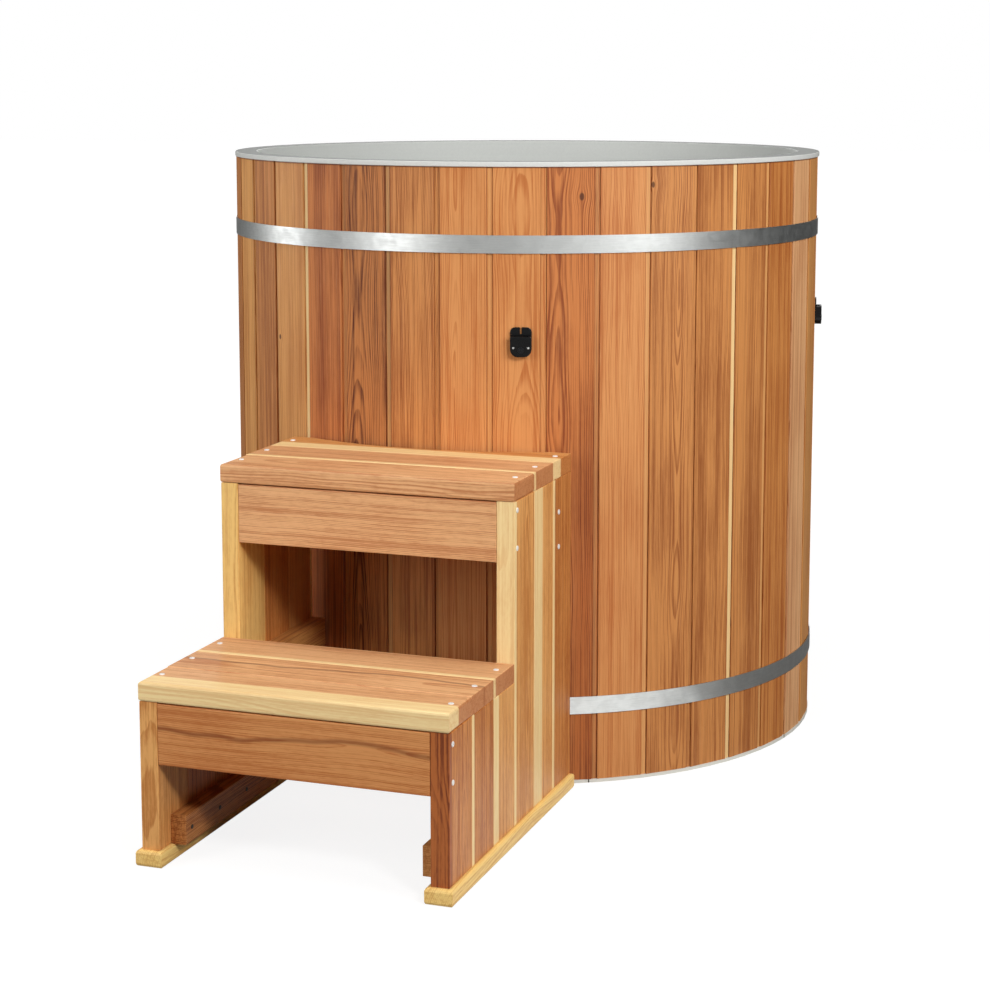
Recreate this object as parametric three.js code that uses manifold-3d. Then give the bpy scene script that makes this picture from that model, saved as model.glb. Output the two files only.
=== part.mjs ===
// A coopered cedar cold plunge tub with a plastic liner, and its free-standing two-step unit.
// Millimetres, +Z up. The tub's axis is the Z axis, the floor is z = 0, and the steps stand on the -Y side.
import * as THREE from "three";
import { mergeVertices } from "three/addons/utils/BufferGeometryUtils.js";
import Module from "manifold-3d";

const wasm = await Module();
wasm.setup();

// Fits shared by all the pieces
const FIT_GAP = 0.3;
const CUT_PAST = 2;
const MERGE_WITHIN = 0.003;

// Stave wall
const STAVE_PAIRS = 19;
const WALL_RADIUS = 575;
const TUB_HEIGHT = 1118.7;
const STAVE_THICKNESS = 32;
const REVEAL_WIDTH = 10.6;
const REVEAL_DEPTH = 3.5;
const REVEAL_EASE = 1;
const JOINT_LINE_DEPTH = 5;
const TONGUE_DEPTH = 6.5;
const TONGUE_THICKNESS = 9;
const TONGUE_END_GAP = 0.8;
const FIRST_SEAM_DEG = -68.17;

// Liner
const LINER_WALL = 6.5;
const LINER_CORNER = 12;
const RIM_THICKNESS = 9;
const RIM_OVERHANG = 1.5;
const RIM_EDGE_ROUND = 1.5;

// Base
const BASE_EDGE = 6;
const BASE_CORE_HEIGHT = 34;

// Hoops
const HOOP_HEIGHT = 31.6;
const HOOP_THICKNESS = 1.5;
const UPPER_HOOP_MIDDLE = 975;
const LOWER_HOOP_MIDDLE = 145;
const HOOP_JOINT_SEAM = 14;
const HOOP_JOINT_OPENING = 26;
const LUG_LENGTH = 26;
const LUG_THICKNESS = 4;
const LUG_BOLT_OUT = 15;
const LUG_BOLT_RADIUS = 4.3;

// Cover locks
const LOCK_WIDTH = 38;
const LOCK_HEIGHT = 52;
const LOCK_BODY_HEIGHT = 36.6;
const LOCK_DEPTH = 13.5;
const LOCK_PLATE = 3;
const LOCK_PLATE_EASE = 0.75;
const FRONT_LOCK_STAVE = 0;
const RIGHT_LOCK_STAVE = 9;
const LOCK_BOTTOM_Z = 778;
const LOCK_OFFSET = 8;
const LOCK_BOTTOM_ROUND = 14;
const LOCK_TOP_ROUND = 9;
const LOCK_SHOULDER_ROUND = 3;
const LOCK_FRONT_EASE = 1.5;
const LOCK_POCKET_WIDTH = 26;
const LOCK_POCKET_FRONT = 3;
const LOCK_POCKET_DEPTH = 16;
const LOCK_SLIT_WIDTH = 3.6;
const LOCK_SLIT_DEPTH = 12;
const CYLINDER_RADIUS = 5.4;
const CYLINDER_LENGTH = 8;
const CYLINDER_PROUD = 0.6;
const CYLINDER_UP = 12.5;
const KEYWAY_WIDTH = 1.8;
const KEYWAY_HEIGHT = 7;
const KEYWAY_DEPTH = 3;

// Drain valve
const DRAIN_STAVE = 17;
const DRAIN_HEIGHT = 88;
const DRAIN_BORE = 11;
const TAIL_WALL = 4;
const SPIGOT_WALL = 4;
const SPIGOT_LENGTH = 18;
const TAIL_GRIP = 16;
const VALVE_COLLAR_RADIUS = 24;
const VALVE_COLLAR_LENGTH = 12;
const VALVE_BODY_WALL = 4;
const VALVE_BODY_LENGTH = 46;
const BALL_RADIUS = 16;
const BALL_GAP = 0.7;
const OUTLET_RADIUS = 16.5;
const OUTLET_LENGTH = 24;
const STEM_RADIUS = 5;
const STEM_BOSS_WALL = 5;
const STEM_BOSS_HEIGHT = 7;
const LEVER_LENGTH = 82;
const LEVER_WIDTH = 17;
const LEVER_THICKNESS = 4;
const LEVER_TAIL = 12;

// Steps
const STEP_WIDTH = 533;
const BOARD_THICKNESS = 32;
const BOARD_WIDTH = 101;
const BOARDS_DEEP = 3;
const LOWER_TREAD_TOP = 306.4;
const UPPER_TREAD_TOP = 609.5;
const TREAD_NOSE = 2;
const RAIL_HEIGHT = 27.4;
const RAIL_SIDE_LIP = 7.5;
const RAIL_FRONT_LIP = 8.3;
const RAIL_REAR_LIP = 2;
const RAIL_CLEAR_OF_TUB = 4;
const TREAD_CLEAR_OF_TUB = 8;
const APRON_HEIGHT = 101;
const APRON_DROP = 2;
const CLEAT_HEIGHT = 50;
const CLEAT_THICKNESS = 28;
const CLEAT_SETBACK = 38;
const BOARD_EASE = 1.5;
const TREAD_EASE = 4;
const RAIL_EASE = 5;

// Smoothness of round faces
const RING_PARTS = 4 * STAVE_PAIRS;
const ROUND_PARTS = 20;
const CORNER_PARTS = 4;
const HOLLOW_PARTS = 16;
const EASE_PARTS = 2;

// Sizes that follow from the ones above
const PITCH = Math.PI / STAVE_PAIRS;
const FIRST_SEAM = THREE.MathUtils.degToRad(FIRST_SEAM_DEG);
const FACE_DISTANCE = WALL_RADIUS * Math.cos(PITCH / 2);
const HALF_FACE = WALL_RADIUS * Math.sin(PITCH / 2);
const INNER_FACE = FACE_DISTANCE - STAVE_THICKNESS;
const INNER_CORNER = INNER_FACE / Math.cos(PITCH / 2);
const HALF_INNER = INNER_FACE * Math.tan(PITCH / 2);
const HALF_REVEAL = REVEAL_WIDTH / 2;
const STAVE_BOTTOM = BASE_EDGE + FIT_GAP;
const RIM_BOTTOM = TUB_HEIGHT - RIM_THICKNESS;
const STAVE_HEIGHT = RIM_BOTTOM - FIT_GAP - STAVE_BOTTOM;
const LINER_OUTER = INNER_FACE - FIT_GAP;
const LINER_INNER = LINER_OUTER - LINER_WALL;
const CORE_TOP = BASE_EDGE + BASE_CORE_HEIGHT;
const FLOOR_BOTTOM = CORE_TOP + FIT_GAP;
const FLOOR_TOP = FLOOR_BOTTOM + LINER_WALL;
const HOOP_INNER = Math.hypot(FACE_DISTANCE, HALF_FACE - HALF_REVEAL) + FIT_GAP;
const DRAIN_TAIL = DRAIN_BORE + TAIL_WALL;
const SPIGOT_BORE = DRAIN_TAIL + FIT_GAP;
const SPIGOT_RADIUS = SPIGOT_BORE + SPIGOT_WALL;
const BALL_CAVITY = BALL_RADIUS + BALL_GAP;
const VALVE_FOOT = FACE_DISTANCE + FIT_GAP;
const VALVE_BALL = VALVE_FOOT + VALVE_COLLAR_LENGTH + VALVE_BODY_LENGTH / 2;
const STEM_BOSS_TOP = BALL_CAVITY + VALVE_BODY_WALL + STEM_BOSS_HEIGHT;
const RAIL_WIDTH = BOARD_THICKNESS + 2 * RAIL_SIDE_LIP;
const PANEL_INNER = STEP_WIDTH / 2 - BOARD_THICKNESS;
const CLEAT_INNER = PANEL_INNER - FIT_GAP - CLEAT_THICKNESS;
const RAIL_REAR = frontOfTub(PANEL_INNER - RAIL_SIDE_LIP);
const CLEAT_REAR = frontOfTub(CLEAT_INNER);
const PANEL_REAR = RAIL_REAR - RAIL_REAR_LIP;
const PANEL_MIDDLE = PANEL_REAR - BOARDS_DEEP * BOARD_WIDTH;
const PANEL_FRONT = PANEL_MIDDLE - BOARDS_DEEP * BOARD_WIDTH;
const PANEL_BOTTOM = RAIL_HEIGHT + FIT_GAP;
const LOWER_TREAD_BOTTOM = LOWER_TREAD_TOP - BOARD_THICKNESS;
const UPPER_TREAD_BOTTOM = UPPER_TREAD_TOP - BOARD_THICKNESS;
const TREAD_ARC = WALL_RADIUS + TREAD_CLEAR_OF_TUB;

// Finishes
const CEDAR_TONES = [0xc98a55, 0xb9764a, 0xd29a63, 0xc07f4e, 0xa9683d];
const CEDAR_PALE = 0xe0bd82;
const CEDAR_RED = 0xb5714a;
const CEDAR_TAN = 0xcd935f;
const LINER_GREY = 0xb4b6b2;
const BASE_GREY = 0xd2d2ce;
const STEEL = 0xb9bdbf;
const LOCK_BLACK = 0x17191b;
const CYLINDER_METAL = 0x55585a;
const VALVE_BRASS = 0xb08d4e;
const LEVER_RED = 0x9c2a22;
const CEDAR_ROUGHNESS = 0.62;
const PLASTIC_ROUGHNESS = 0.45;
const METAL_ROUGHNESS = 0.33;
const PLATED = 0.9;

// How far forward a piece may start at a place across, to stand clear of the wall
function frontOfTub(across) {
  return -Math.sqrt((WALL_RADIUS + RAIL_CLEAR_OF_TUB) ** 2 - across ** 2);
}

const object = new THREE.Group();
const steps = new THREE.Group();
object.add(steps);

function finish(color, roughness, metalness = 0) {
  return new THREE.MeshStandardMaterial({ color, roughness, metalness });
}

function addPiece(parent, name, geometry, material) {
  const mesh = new THREE.Mesh(geometry, material);
  mesh.name = name;
  parent.add(mesh);
  return mesh;
}

// A geometry with shared corners merged and no empty triangles, so that it is one closed skin
function closed(geometry) {
  const bare = geometry.clone();
  bare.deleteAttribute("normal");
  bare.deleteAttribute("uv");
  const merged = mergeVertices(bare, MERGE_WITHIN);
  const index = merged.index.array;
  const kept = [];
  for (let i = 0; i < index.length; i += 3) {
    const [a, b, c] = [index[i], index[i + 1], index[i + 2]];
    if (a !== b && b !== c && c !== a) kept.push(a, b, c);
  }
  merged.setIndex(kept);
  return merged;
}

function solid(geometry) {
  const skin = closed(geometry);
  const vertProperties = Float32Array.from(skin.attributes.position.array);
  const triVerts = Uint32Array.from(skin.index.array);
  return new wasm.Manifold(new wasm.Mesh({ numProp: 3, vertProperties, triVerts }));
}

function geometryOf(body) {
  const { vertProperties, triVerts } = body.getMesh();
  const geometry = new THREE.BufferGeometry();
  geometry.setAttribute("position", new THREE.BufferAttribute(vertProperties, 3));
  geometry.setIndex(new THREE.BufferAttribute(triVerts, 1));
  return geometry;
}

// A box given by its low and high corners
function boxBetween(low, high) {
  const size = high.map((value, axis) => value - low[axis]);
  const middle = high.map((value, axis) => (value + low[axis]) / 2);
  return new THREE.BoxGeometry(...size).translate(...middle);
}

// A round bar along Y from one place to another
function barAlongY(radius, from, to, parts = ROUND_PARTS) {
  return new THREE.CylinderGeometry(radius, radius, to - from, parts).translate(0, (from + to) / 2, 0);
}

// A ring or disc turned about the Z axis, with its facets lined up with the stave seams
function turnedAboutZ(profile) {
  const points = profile.map(([radius, height]) => new THREE.Vector2(radius, height));
  const lathe = new THREE.LatheGeometry(points, RING_PARTS);
  return closed(lathe.rotateX(Math.PI / 2).rotateZ(FIRST_SEAM + Math.PI / 2));
}

// Points of an arc, from one angle to another
function arc(x, y, radius, from, to, parts = CORNER_PARTS) {
  const points = [];
  for (let i = 0; i <= parts; i += 1) {
    const angle = from + ((to - from) * i) / parts;
    points.push([x + radius * Math.cos(angle), y + radius * Math.sin(angle)]);
  }
  return points;
}

function shapeThrough(points) {
  return new THREE.Shape(points.map(([x, y]) => new THREE.Vector2(x, y)));
}

function staveMiddle(index) {
  return FIRST_SEAM + (index - 0.5) * PITCH;
}

// Turns a piece made in front of the axis, facing +Y, to face out at an angle round the tub
function facing(geometry, angle) {
  return geometry.rotateZ(angle - Math.PI / 2);
}

// Stave wall: each pair has a groove on one edge, a tongue on the other and a shallow channel at every seam.
// A point on a seam is given by its distance from the axis and how far it lies across the seam.
function seamPoint(angle, distance, across) {
  const x = distance * Math.cos(angle) - across * Math.sin(angle);
  const y = distance * Math.sin(angle) + across * Math.cos(angle);
  return new THREE.Vector2(x, y);
}

function stavePairOutline() {
  const slope = Math.cos(PITCH / 2);
  const middle = (WALL_RADIUS + INNER_CORNER) / 2;
  const halfTongue = TONGUE_THICKNESS / 2;
  const halfGroove = halfTongue + FIT_GAP;
  const near = HALF_REVEAL - FIT_GAP / 2;
  const far = HALF_REVEAL + FIT_GAP / 2;
  const tongueEnd = far + TONGUE_DEPTH;
  const grooveEnd = tongueEnd + TONGUE_END_GAP;
  const faceStart = HALF_FACE - (far + REVEAL_EASE) / slope;
  const faceEnd = HALF_FACE - (HALF_REVEAL + REVEAL_EASE) / slope;
  const channelTop = WALL_RADIUS - HALF_REVEAL * Math.tan(PITCH / 2) - REVEAL_EASE;
  const channelFloor = WALL_RADIUS - REVEAL_DEPTH;
  const lineFloor = channelFloor - JOINT_LINE_DEPTH;
  return [
    seamPoint(-PITCH / 2, INNER_FACE, far / slope - HALF_INNER),
    seamPoint(-PITCH, middle - halfGroove, far),
    seamPoint(-PITCH, middle - halfGroove, grooveEnd),
    seamPoint(-PITCH, middle + halfGroove, grooveEnd),
    seamPoint(-PITCH, middle + halfGroove, far),
    seamPoint(-PITCH, channelTop, far),
    seamPoint(-PITCH / 2, FACE_DISTANCE, -faceStart),
    seamPoint(-PITCH / 2, FACE_DISTANCE, faceEnd),
    seamPoint(0, channelTop, -HALF_REVEAL),
    seamPoint(0, channelFloor, -HALF_REVEAL),
    seamPoint(0, channelFloor, near),
    seamPoint(0, lineFloor, near),
    seamPoint(0, lineFloor, far),
    seamPoint(0, channelTop, far),
    seamPoint(PITCH / 2, FACE_DISTANCE, -faceStart),
    seamPoint(PITCH / 2, FACE_DISTANCE, faceEnd),
    seamPoint(PITCH, channelTop, -HALF_REVEAL),
    seamPoint(PITCH, channelFloor, -HALF_REVEAL),
    seamPoint(PITCH, channelFloor, near),
    seamPoint(PITCH, middle + halfTongue, near),
    seamPoint(PITCH, middle + halfTongue, tongueEnd),
    seamPoint(PITCH, middle - halfTongue, tongueEnd),
    seamPoint(PITCH, middle - halfTongue, near),
    seamPoint(PITCH / 2, INNER_FACE, near / slope + HALF_INNER),
    seamPoint(0, INNER_CORNER, 0),
  ];
}

function drainHole(radius, from, to) {
  return facing(barAlongY(radius, from, to).translate(0, 0, DRAIN_HEIGHT), staveMiddle(DRAIN_STAVE));
}

function addStaves() {
  const outline = new THREE.Shape(stavePairOutline());
  for (let pair = 0; pair < STAVE_PAIRS; pair += 1) {
    const prism = new THREE.ExtrudeGeometry(outline, { depth: STAVE_HEIGHT, bevelEnabled: false });
    prism.translate(0, 0, STAVE_BOTTOM).rotateZ(FIRST_SEAM + 2 * pair * PITCH);
    const holed = pair === Math.floor(DRAIN_STAVE / 2);
    const hole = drainHole(SPIGOT_RADIUS + FIT_GAP, LINER_INNER, WALL_RADIUS + CUT_PAST);
    const geometry = holed ? geometryOf(solid(prism).subtract(solid(hole))) : prism;
    const name = `stave_pair_${String(pair + 1).padStart(2, "0")}`;
    addPiece(object, name, geometry, finish(CEDAR_TONES[pair % CEDAR_TONES.length], CEDAR_ROUGHNESS));
  }
}

// Liner: a cup whose flange lies on the staves, with a drain spigot that reaches into one stave
function addLiner() {
  const rimRadius = WALL_RADIUS + RIM_OVERHANG;
  const outerCorner = LINER_CORNER + LINER_WALL;
  const cup = turnedAboutZ([
    [0, FLOOR_BOTTOM],
    ...arc(LINER_OUTER - outerCorner, FLOOR_BOTTOM + outerCorner, outerCorner, -Math.PI / 2, 0),
    [LINER_OUTER, RIM_BOTTOM],
    [rimRadius, RIM_BOTTOM],
    [rimRadius, TUB_HEIGHT - RIM_EDGE_ROUND],
    [rimRadius - RIM_EDGE_ROUND, TUB_HEIGHT],
    [LINER_INNER + RIM_EDGE_ROUND, TUB_HEIGHT],
    [LINER_INNER, TUB_HEIGHT - RIM_EDGE_ROUND],
    ...arc(LINER_INNER - LINER_CORNER, FLOOR_TOP + LINER_CORNER, LINER_CORNER, 0, -Math.PI / 2),
    [0, FLOOR_TOP],
  ]);
  const spigot = drainHole(SPIGOT_RADIUS, LINER_INNER + LINER_WALL / 2, LINER_OUTER + SPIGOT_LENGTH);
  const bore = drainHole(SPIGOT_BORE, LINER_INNER - CUT_PAST, FACE_DISTANCE);
  const liner = solid(cup).add(solid(spigot)).subtract(solid(bore));
  addPiece(object, "liner", geometryOf(liner), finish(LINER_GREY, PLASTIC_ROUGHNESS));
}

// Base: an edge that the staves stand on, and a raised core inside them that carries the liner
function addBase() {
  const coreRadius = INNER_FACE - FIT_GAP;
  const base = turnedAboutZ([
    [0, 0],
    [WALL_RADIUS, 0],
    [WALL_RADIUS, BASE_EDGE],
    [coreRadius, BASE_EDGE],
    [coreRadius, CORE_TOP],
    [0, CORE_TOP],
  ]);
  addPiece(object, "insulated_base", base, finish(BASE_GREY, PLASTIC_ROUGHNESS));
}

// Hoops: a band round the wall whose two ends turn out into lugs for a tightening bolt
function hoopOutline() {
  const joint = FIRST_SEAM + HOOP_JOINT_SEAM * PITCH;
  const outer = HOOP_INNER + HOOP_THICKNESS;
  const tip = HOOP_INNER + LUG_LENGTH;
  const half = HOOP_JOINT_OPENING / 2;
  const inside = [];
  const outside = [];
  for (let i = 1; i < RING_PARTS; i += 1) {
    const angle = joint + (i * PITCH) / 2;
    outside.push(seamPoint(angle, outer, 0));
    inside.unshift(seamPoint(angle, HOOP_INNER, 0));
  }
  const farSide = half + LUG_THICKNESS;
  const reach = (radius, across) => Math.sqrt(radius ** 2 - across ** 2);
  return [
    seamPoint(joint, reach(HOOP_INNER, half), half),
    seamPoint(joint, tip, half),
    seamPoint(joint, tip, farSide),
    seamPoint(joint, reach(outer, farSide), farSide),
    ...outside,
    seamPoint(joint, reach(outer, farSide), -farSide),
    seamPoint(joint, tip, -farSide),
    seamPoint(joint, tip, -half),
    seamPoint(joint, reach(HOOP_INNER, half), -half),
    ...inside,
  ];
}

function addHoop(name, middle) {
  const joint = FIRST_SEAM + HOOP_JOINT_SEAM * PITCH;
  const outline = new THREE.Shape(hoopOutline());
  const band = new THREE.ExtrudeGeometry(outline, { depth: HOOP_HEIGHT, bevelEnabled: false });
  band.translate(0, 0, middle - HOOP_HEIGHT / 2);
  const reach = HOOP_JOINT_OPENING / 2 + LUG_THICKNESS + CUT_PAST;
  const hole = barAlongY(LUG_BOLT_RADIUS, -reach, reach);
  hole.translate(HOOP_INNER + LUG_BOLT_OUT, 0, middle).rotateZ(joint);
  const geometry = geometryOf(solid(band).subtract(solid(hole)));
  addPiece(object, name, geometry, finish(STEEL, METAL_ROUGHNESS, 1));
}

// Cover locks: a back plate with a slit, a body open at the top for the strap's tongue, and a key cylinder.
// Each is made with its back on y = 0 and its foot on z = 0, and then set on its stave.
function lockOutline(height, topRound) {
  const half = LOCK_WIDTH / 2;
  const foot = LOCK_BOTTOM_ROUND;
  const top = height - topRound;
  return shapeThrough([
    ...arc(foot - half, foot, foot, Math.PI, 1.5 * Math.PI),
    ...arc(half - foot, foot, foot, -Math.PI / 2, 0),
    ...arc(half - topRound, top, topRound, 0, Math.PI / 2),
    ...arc(topRound - half, top, topRound, Math.PI / 2, Math.PI),
  ]);
}

// An upright slab that stands out from y = 0 by its depth, with its edges eased
function slab(shape, depth, ease) {
  const options = {
    depth: depth - 2 * ease,
    bevelSize: ease,
    bevelThickness: ease,
    bevelOffset: -ease,
    bevelSegments: EASE_PARTS,
  };
  return new THREE.ExtrudeGeometry(shape, options).rotateX(Math.PI / 2).translate(0, depth - ease, 0);
}

function lockBody() {
  const plate = slab(lockOutline(LOCK_HEIGHT, LOCK_TOP_ROUND), LOCK_PLATE, LOCK_PLATE_EASE);
  const block = slab(lockOutline(LOCK_BODY_HEIGHT, LOCK_SHOULDER_ROUND), LOCK_DEPTH, LOCK_FRONT_EASE);
  const halfPocket = LOCK_POCKET_WIDTH / 2;
  const pocketFloor = LOCK_BODY_HEIGHT - LOCK_POCKET_DEPTH;
  const pocket = boxBetween(
    [-halfPocket, LOCK_PLATE, pocketFloor],
    [halfPocket, LOCK_DEPTH - LOCK_POCKET_FRONT, LOCK_BODY_HEIGHT + CUT_PAST],
  );
  const halfSlit = LOCK_SLIT_WIDTH / 2;
  const slit = boxBetween(
    [-halfSlit, -CUT_PAST, LOCK_HEIGHT - LOCK_SLIT_DEPTH],
    [halfSlit, LOCK_PLATE + CUT_PAST, LOCK_HEIGHT + CUT_PAST],
  );
  const boreFloor = LOCK_DEPTH - CYLINDER_LENGTH - FIT_GAP;
  const bore = barAlongY(CYLINDER_RADIUS + FIT_GAP, boreFloor, LOCK_DEPTH + CUT_PAST);
  bore.translate(0, 0, CYLINDER_UP);
  return solid(plate).add(solid(block)).subtract(solid(pocket)).subtract(solid(slit)).subtract(solid(bore));
}

function lockCylinder() {
  const face = LOCK_DEPTH + CYLINDER_PROUD;
  const plug = barAlongY(CYLINDER_RADIUS, LOCK_DEPTH - CYLINDER_LENGTH, face);
  const keyway = boxBetween(
    [-KEYWAY_WIDTH / 2, face - KEYWAY_DEPTH, -KEYWAY_HEIGHT / 2],
    [KEYWAY_WIDTH / 2, face + CUT_PAST, KEYWAY_HEIGHT / 2],
  );
  return solid(plug).subtract(solid(keyway));
}

function addLock(place, stave, across) {
  const holder = new THREE.Group();
  const angle = staveMiddle(stave);
  const out = FACE_DISTANCE + FIT_GAP;
  holder.rotation.z = angle - Math.PI / 2;
  const seat = seamPoint(angle, out, across);
  holder.position.set(seat.x, seat.y, LOCK_BOTTOM_Z);
  object.add(holder);
  addPiece(holder, `${place}_lock`, geometryOf(lockBody()), finish(LOCK_BLACK, PLASTIC_ROUGHNESS));
  const cylinder = addPiece(holder, `${place}_lock_cylinder`, geometryOf(lockCylinder()),
    finish(CYLINDER_METAL, METAL_ROUGHNESS, PLATED));
  cylinder.position.z = CYLINDER_UP;
}

// Drain: a ball valve whose tail sits in the liner's spigot, made along +Y with its bore on z = 0
function valveBody() {
  const tailEnd = LINER_OUTER + SPIGOT_LENGTH - TAIL_GRIP;
  const collarEnd = VALVE_FOOT + VALVE_COLLAR_LENGTH;
  const bodyEnd = collarEnd + VALVE_BODY_LENGTH;
  const end = bodyEnd + OUTLET_LENGTH;
  const bodyRadius = BALL_CAVITY + VALVE_BODY_WALL;
  const mouth = Math.asin(DRAIN_BORE / BALL_CAVITY);
  const cavity = [];
  for (let i = 0; i <= 2 * CORNER_PARTS; i += 1) {
    const angle = mouth + ((Math.PI - 2 * mouth) * i) / (2 * CORNER_PARTS);
    cavity.push([BALL_CAVITY * Math.sin(angle), VALVE_BALL + BALL_CAVITY * Math.cos(angle)]);
  }
  const profile = [
    [DRAIN_BORE, tailEnd],
    [DRAIN_TAIL, tailEnd],
    [DRAIN_TAIL, VALVE_FOOT],
    [VALVE_COLLAR_RADIUS, VALVE_FOOT],
    [VALVE_COLLAR_RADIUS, collarEnd],
    [bodyRadius, collarEnd],
    [bodyRadius, bodyEnd],
    [OUTLET_RADIUS, bodyEnd],
    [OUTLET_RADIUS, end],
    [DRAIN_BORE, end],
    ...cavity,
    [DRAIN_BORE, tailEnd],
  ];
  const points = profile.map(([radius, along]) => new THREE.Vector2(radius, along));
  const turned = solid(new THREE.LatheGeometry(points, ROUND_PARTS));
  const bossRadius = STEM_RADIUS + FIT_GAP + STEM_BOSS_WALL;
  const bossFoot = BALL_CAVITY + VALVE_BODY_WALL / 2;
  const boss = uprightBar(bossRadius, bossFoot, STEM_BOSS_TOP);
  const hole = uprightBar(STEM_RADIUS + FIT_GAP, 0, STEM_BOSS_TOP + CUT_PAST);
  return turned.add(solid(boss)).subtract(solid(hole));
}

// A round bar along Z at the ball's place
function uprightBar(radius, from, to) {
  const bar = new THREE.CylinderGeometry(radius, radius, to - from, ROUND_PARTS);
  return bar.rotateX(Math.PI / 2).translate(0, VALVE_BALL, (from + to) / 2);
}

// The lever lies across the pipe when the valve is shut, and so does the hole through the ball
function valveLever() {
  const handleBottom = STEM_BOSS_TOP + FIT_GAP;
  const ball = new THREE.SphereGeometry(BALL_RADIUS, ROUND_PARTS, ROUND_PARTS / 2).rotateX(Math.PI / 2);
  ball.translate(0, VALVE_BALL, 0);
  const wayLength = 2 * (BALL_RADIUS + CUT_PAST);
  const way = new THREE.CylinderGeometry(DRAIN_BORE, DRAIN_BORE, wayLength, ROUND_PARTS);
  way.rotateZ(Math.PI / 2).translate(0, VALVE_BALL, 0);
  const stem = uprightBar(STEM_RADIUS, BALL_RADIUS - STEM_RADIUS / 2, handleBottom + LEVER_THICKNESS / 2);
  const half = LEVER_WIDTH / 2;
  const outline = shapeThrough([
    [-LEVER_TAIL, -half],
    ...arc(LEVER_LENGTH - half, 0, half, -Math.PI / 2, Math.PI / 2, 2 * CORNER_PARTS),
    [-LEVER_TAIL, half],
  ]);
  const options = { depth: LEVER_THICKNESS, bevelEnabled: false };
  const handle = new THREE.ExtrudeGeometry(outline, options).translate(0, VALVE_BALL, handleBottom);
  return solid(ball).subtract(solid(way)).add(solid(stem)).add(solid(handle));
}

function addDrain() {
  const holder = new THREE.Group();
  holder.rotation.z = staveMiddle(DRAIN_STAVE) - Math.PI / 2;
  holder.position.z = DRAIN_HEIGHT;
  object.add(holder);
  addPiece(holder, "drain_valve", geometryOf(valveBody()), finish(VALVE_BRASS, METAL_ROUGHNESS, PLATED));
  addPiece(holder, "drain_lever", geometryOf(valveLever()), finish(LEVER_RED, PLASTIC_ROUGHNESS));
}

// Steps: boards with eased edges, given by their low and high corners and the direction of their thickness
function board(low, high, thicknessAxis, ease) {
  const axes = [0, 1, 2].filter((axis) => axis !== thicknessAxis);
  const [wide, deep] = axes.map((axis) => high[axis] - low[axis]);
  const [x, y] = [wide / 2, deep / 2];
  const shape = shapeThrough([[-x, -y], [x, -y], [x, y], [-x, y]]);
  const geometry = easedPlank(shape, high[thicknessAxis] - low[thicknessAxis], ease);
  if (thicknessAxis === 0) geometry.rotateX(Math.PI / 2).rotateZ(Math.PI / 2);
  if (thicknessAxis === 1) geometry.rotateX(Math.PI / 2);
  const middle = high.map((value, axis) => (value + low[axis]) / 2);
  return geometry.translate(...middle);
}

// A flat plank of any outline, centred on its thickness
function easedPlank(shape, thickness, ease) {
  const options = {
    depth: thickness - 2 * ease,
    bevelSize: ease,
    bevelThickness: ease,
    bevelOffset: -ease,
    bevelSegments: EASE_PARTS,
  };
  return new THREE.ExtrudeGeometry(shape, options).translate(0, 0, ease - thickness / 2);
}

function addBoard(name, low, high, thicknessAxis, color, ease = BOARD_EASE) {
  addPiece(steps, name, board(low, high, thicknessAxis, ease), finish(color, CEDAR_ROUGHNESS));
}

function addSidePanel(side, sign) {
  const outer = (sign * STEP_WIDTH) / 2;
  const inner = sign * PANEL_INNER;
  const [lowX, highX] = [Math.min(outer, inner), Math.max(outer, inner)];
  const runs = [
    ["short", PANEL_FRONT, LOWER_TREAD_BOTTOM - FIT_GAP],
    ["tall", PANEL_MIDDLE, UPPER_TREAD_BOTTOM - FIT_GAP],
  ];
  for (const [kind, front, top] of runs) {
    for (let i = 0; i < BOARDS_DEEP; i += 1) {
      const near = front + i * BOARD_WIDTH;
      const far = near + BOARD_WIDTH - FIT_GAP;
      const tone = CEDAR_TONES[i % CEDAR_TONES.length];
      addBoard(`${side}_${kind}_board_${i + 1}`, [lowX, near, PANEL_BOTTOM], [highX, far, top], 0, tone);
    }
  }
}

function addRail(side, sign) {
  const middle = sign * (PANEL_INNER + BOARD_THICKNESS / 2);
  const low = [middle - RAIL_WIDTH / 2, PANEL_FRONT - RAIL_FRONT_LIP, 0];
  const high = [middle + RAIL_WIDTH / 2, RAIL_REAR, RAIL_HEIGHT];
  addBoard(`${side}_foot_rail`, low, high, 2, CEDAR_PALE, RAIL_EASE);
}

function addCleats(side, sign) {
  const outer = sign * (PANEL_INNER - FIT_GAP);
  const inner = sign * CLEAT_INNER;
  const [lowX, highX] = [Math.min(outer, inner), Math.max(outer, inner)];
  const lowFront = PANEL_FRONT + CLEAT_SETBACK;
  addBoard(`${side}_low_cleat`, [lowX, lowFront, PANEL_BOTTOM],
    [highX, CLEAT_REAR, PANEL_BOTTOM + CLEAT_HEIGHT], 0, CEDAR_RED);
  const top = LOWER_TREAD_BOTTOM - FIT_GAP;
  const midFront = PANEL_FRONT + BOARD_THICKNESS + FIT_GAP;
  addBoard(`${side}_middle_cleat`, [lowX, midFront, top - CLEAT_HEIGHT],
    [highX, CLEAT_REAR, top], 0, CEDAR_TAN);
}

function addApron(name, front, treadBottom) {
  const half = PANEL_INNER - FIT_GAP;
  const top = treadBottom - APRON_DROP;
  addBoard(name, [-half, front, top - APRON_HEIGHT], [half, front + BOARD_THICKNESS, top], 1, CEDAR_TAN);
}

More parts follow.
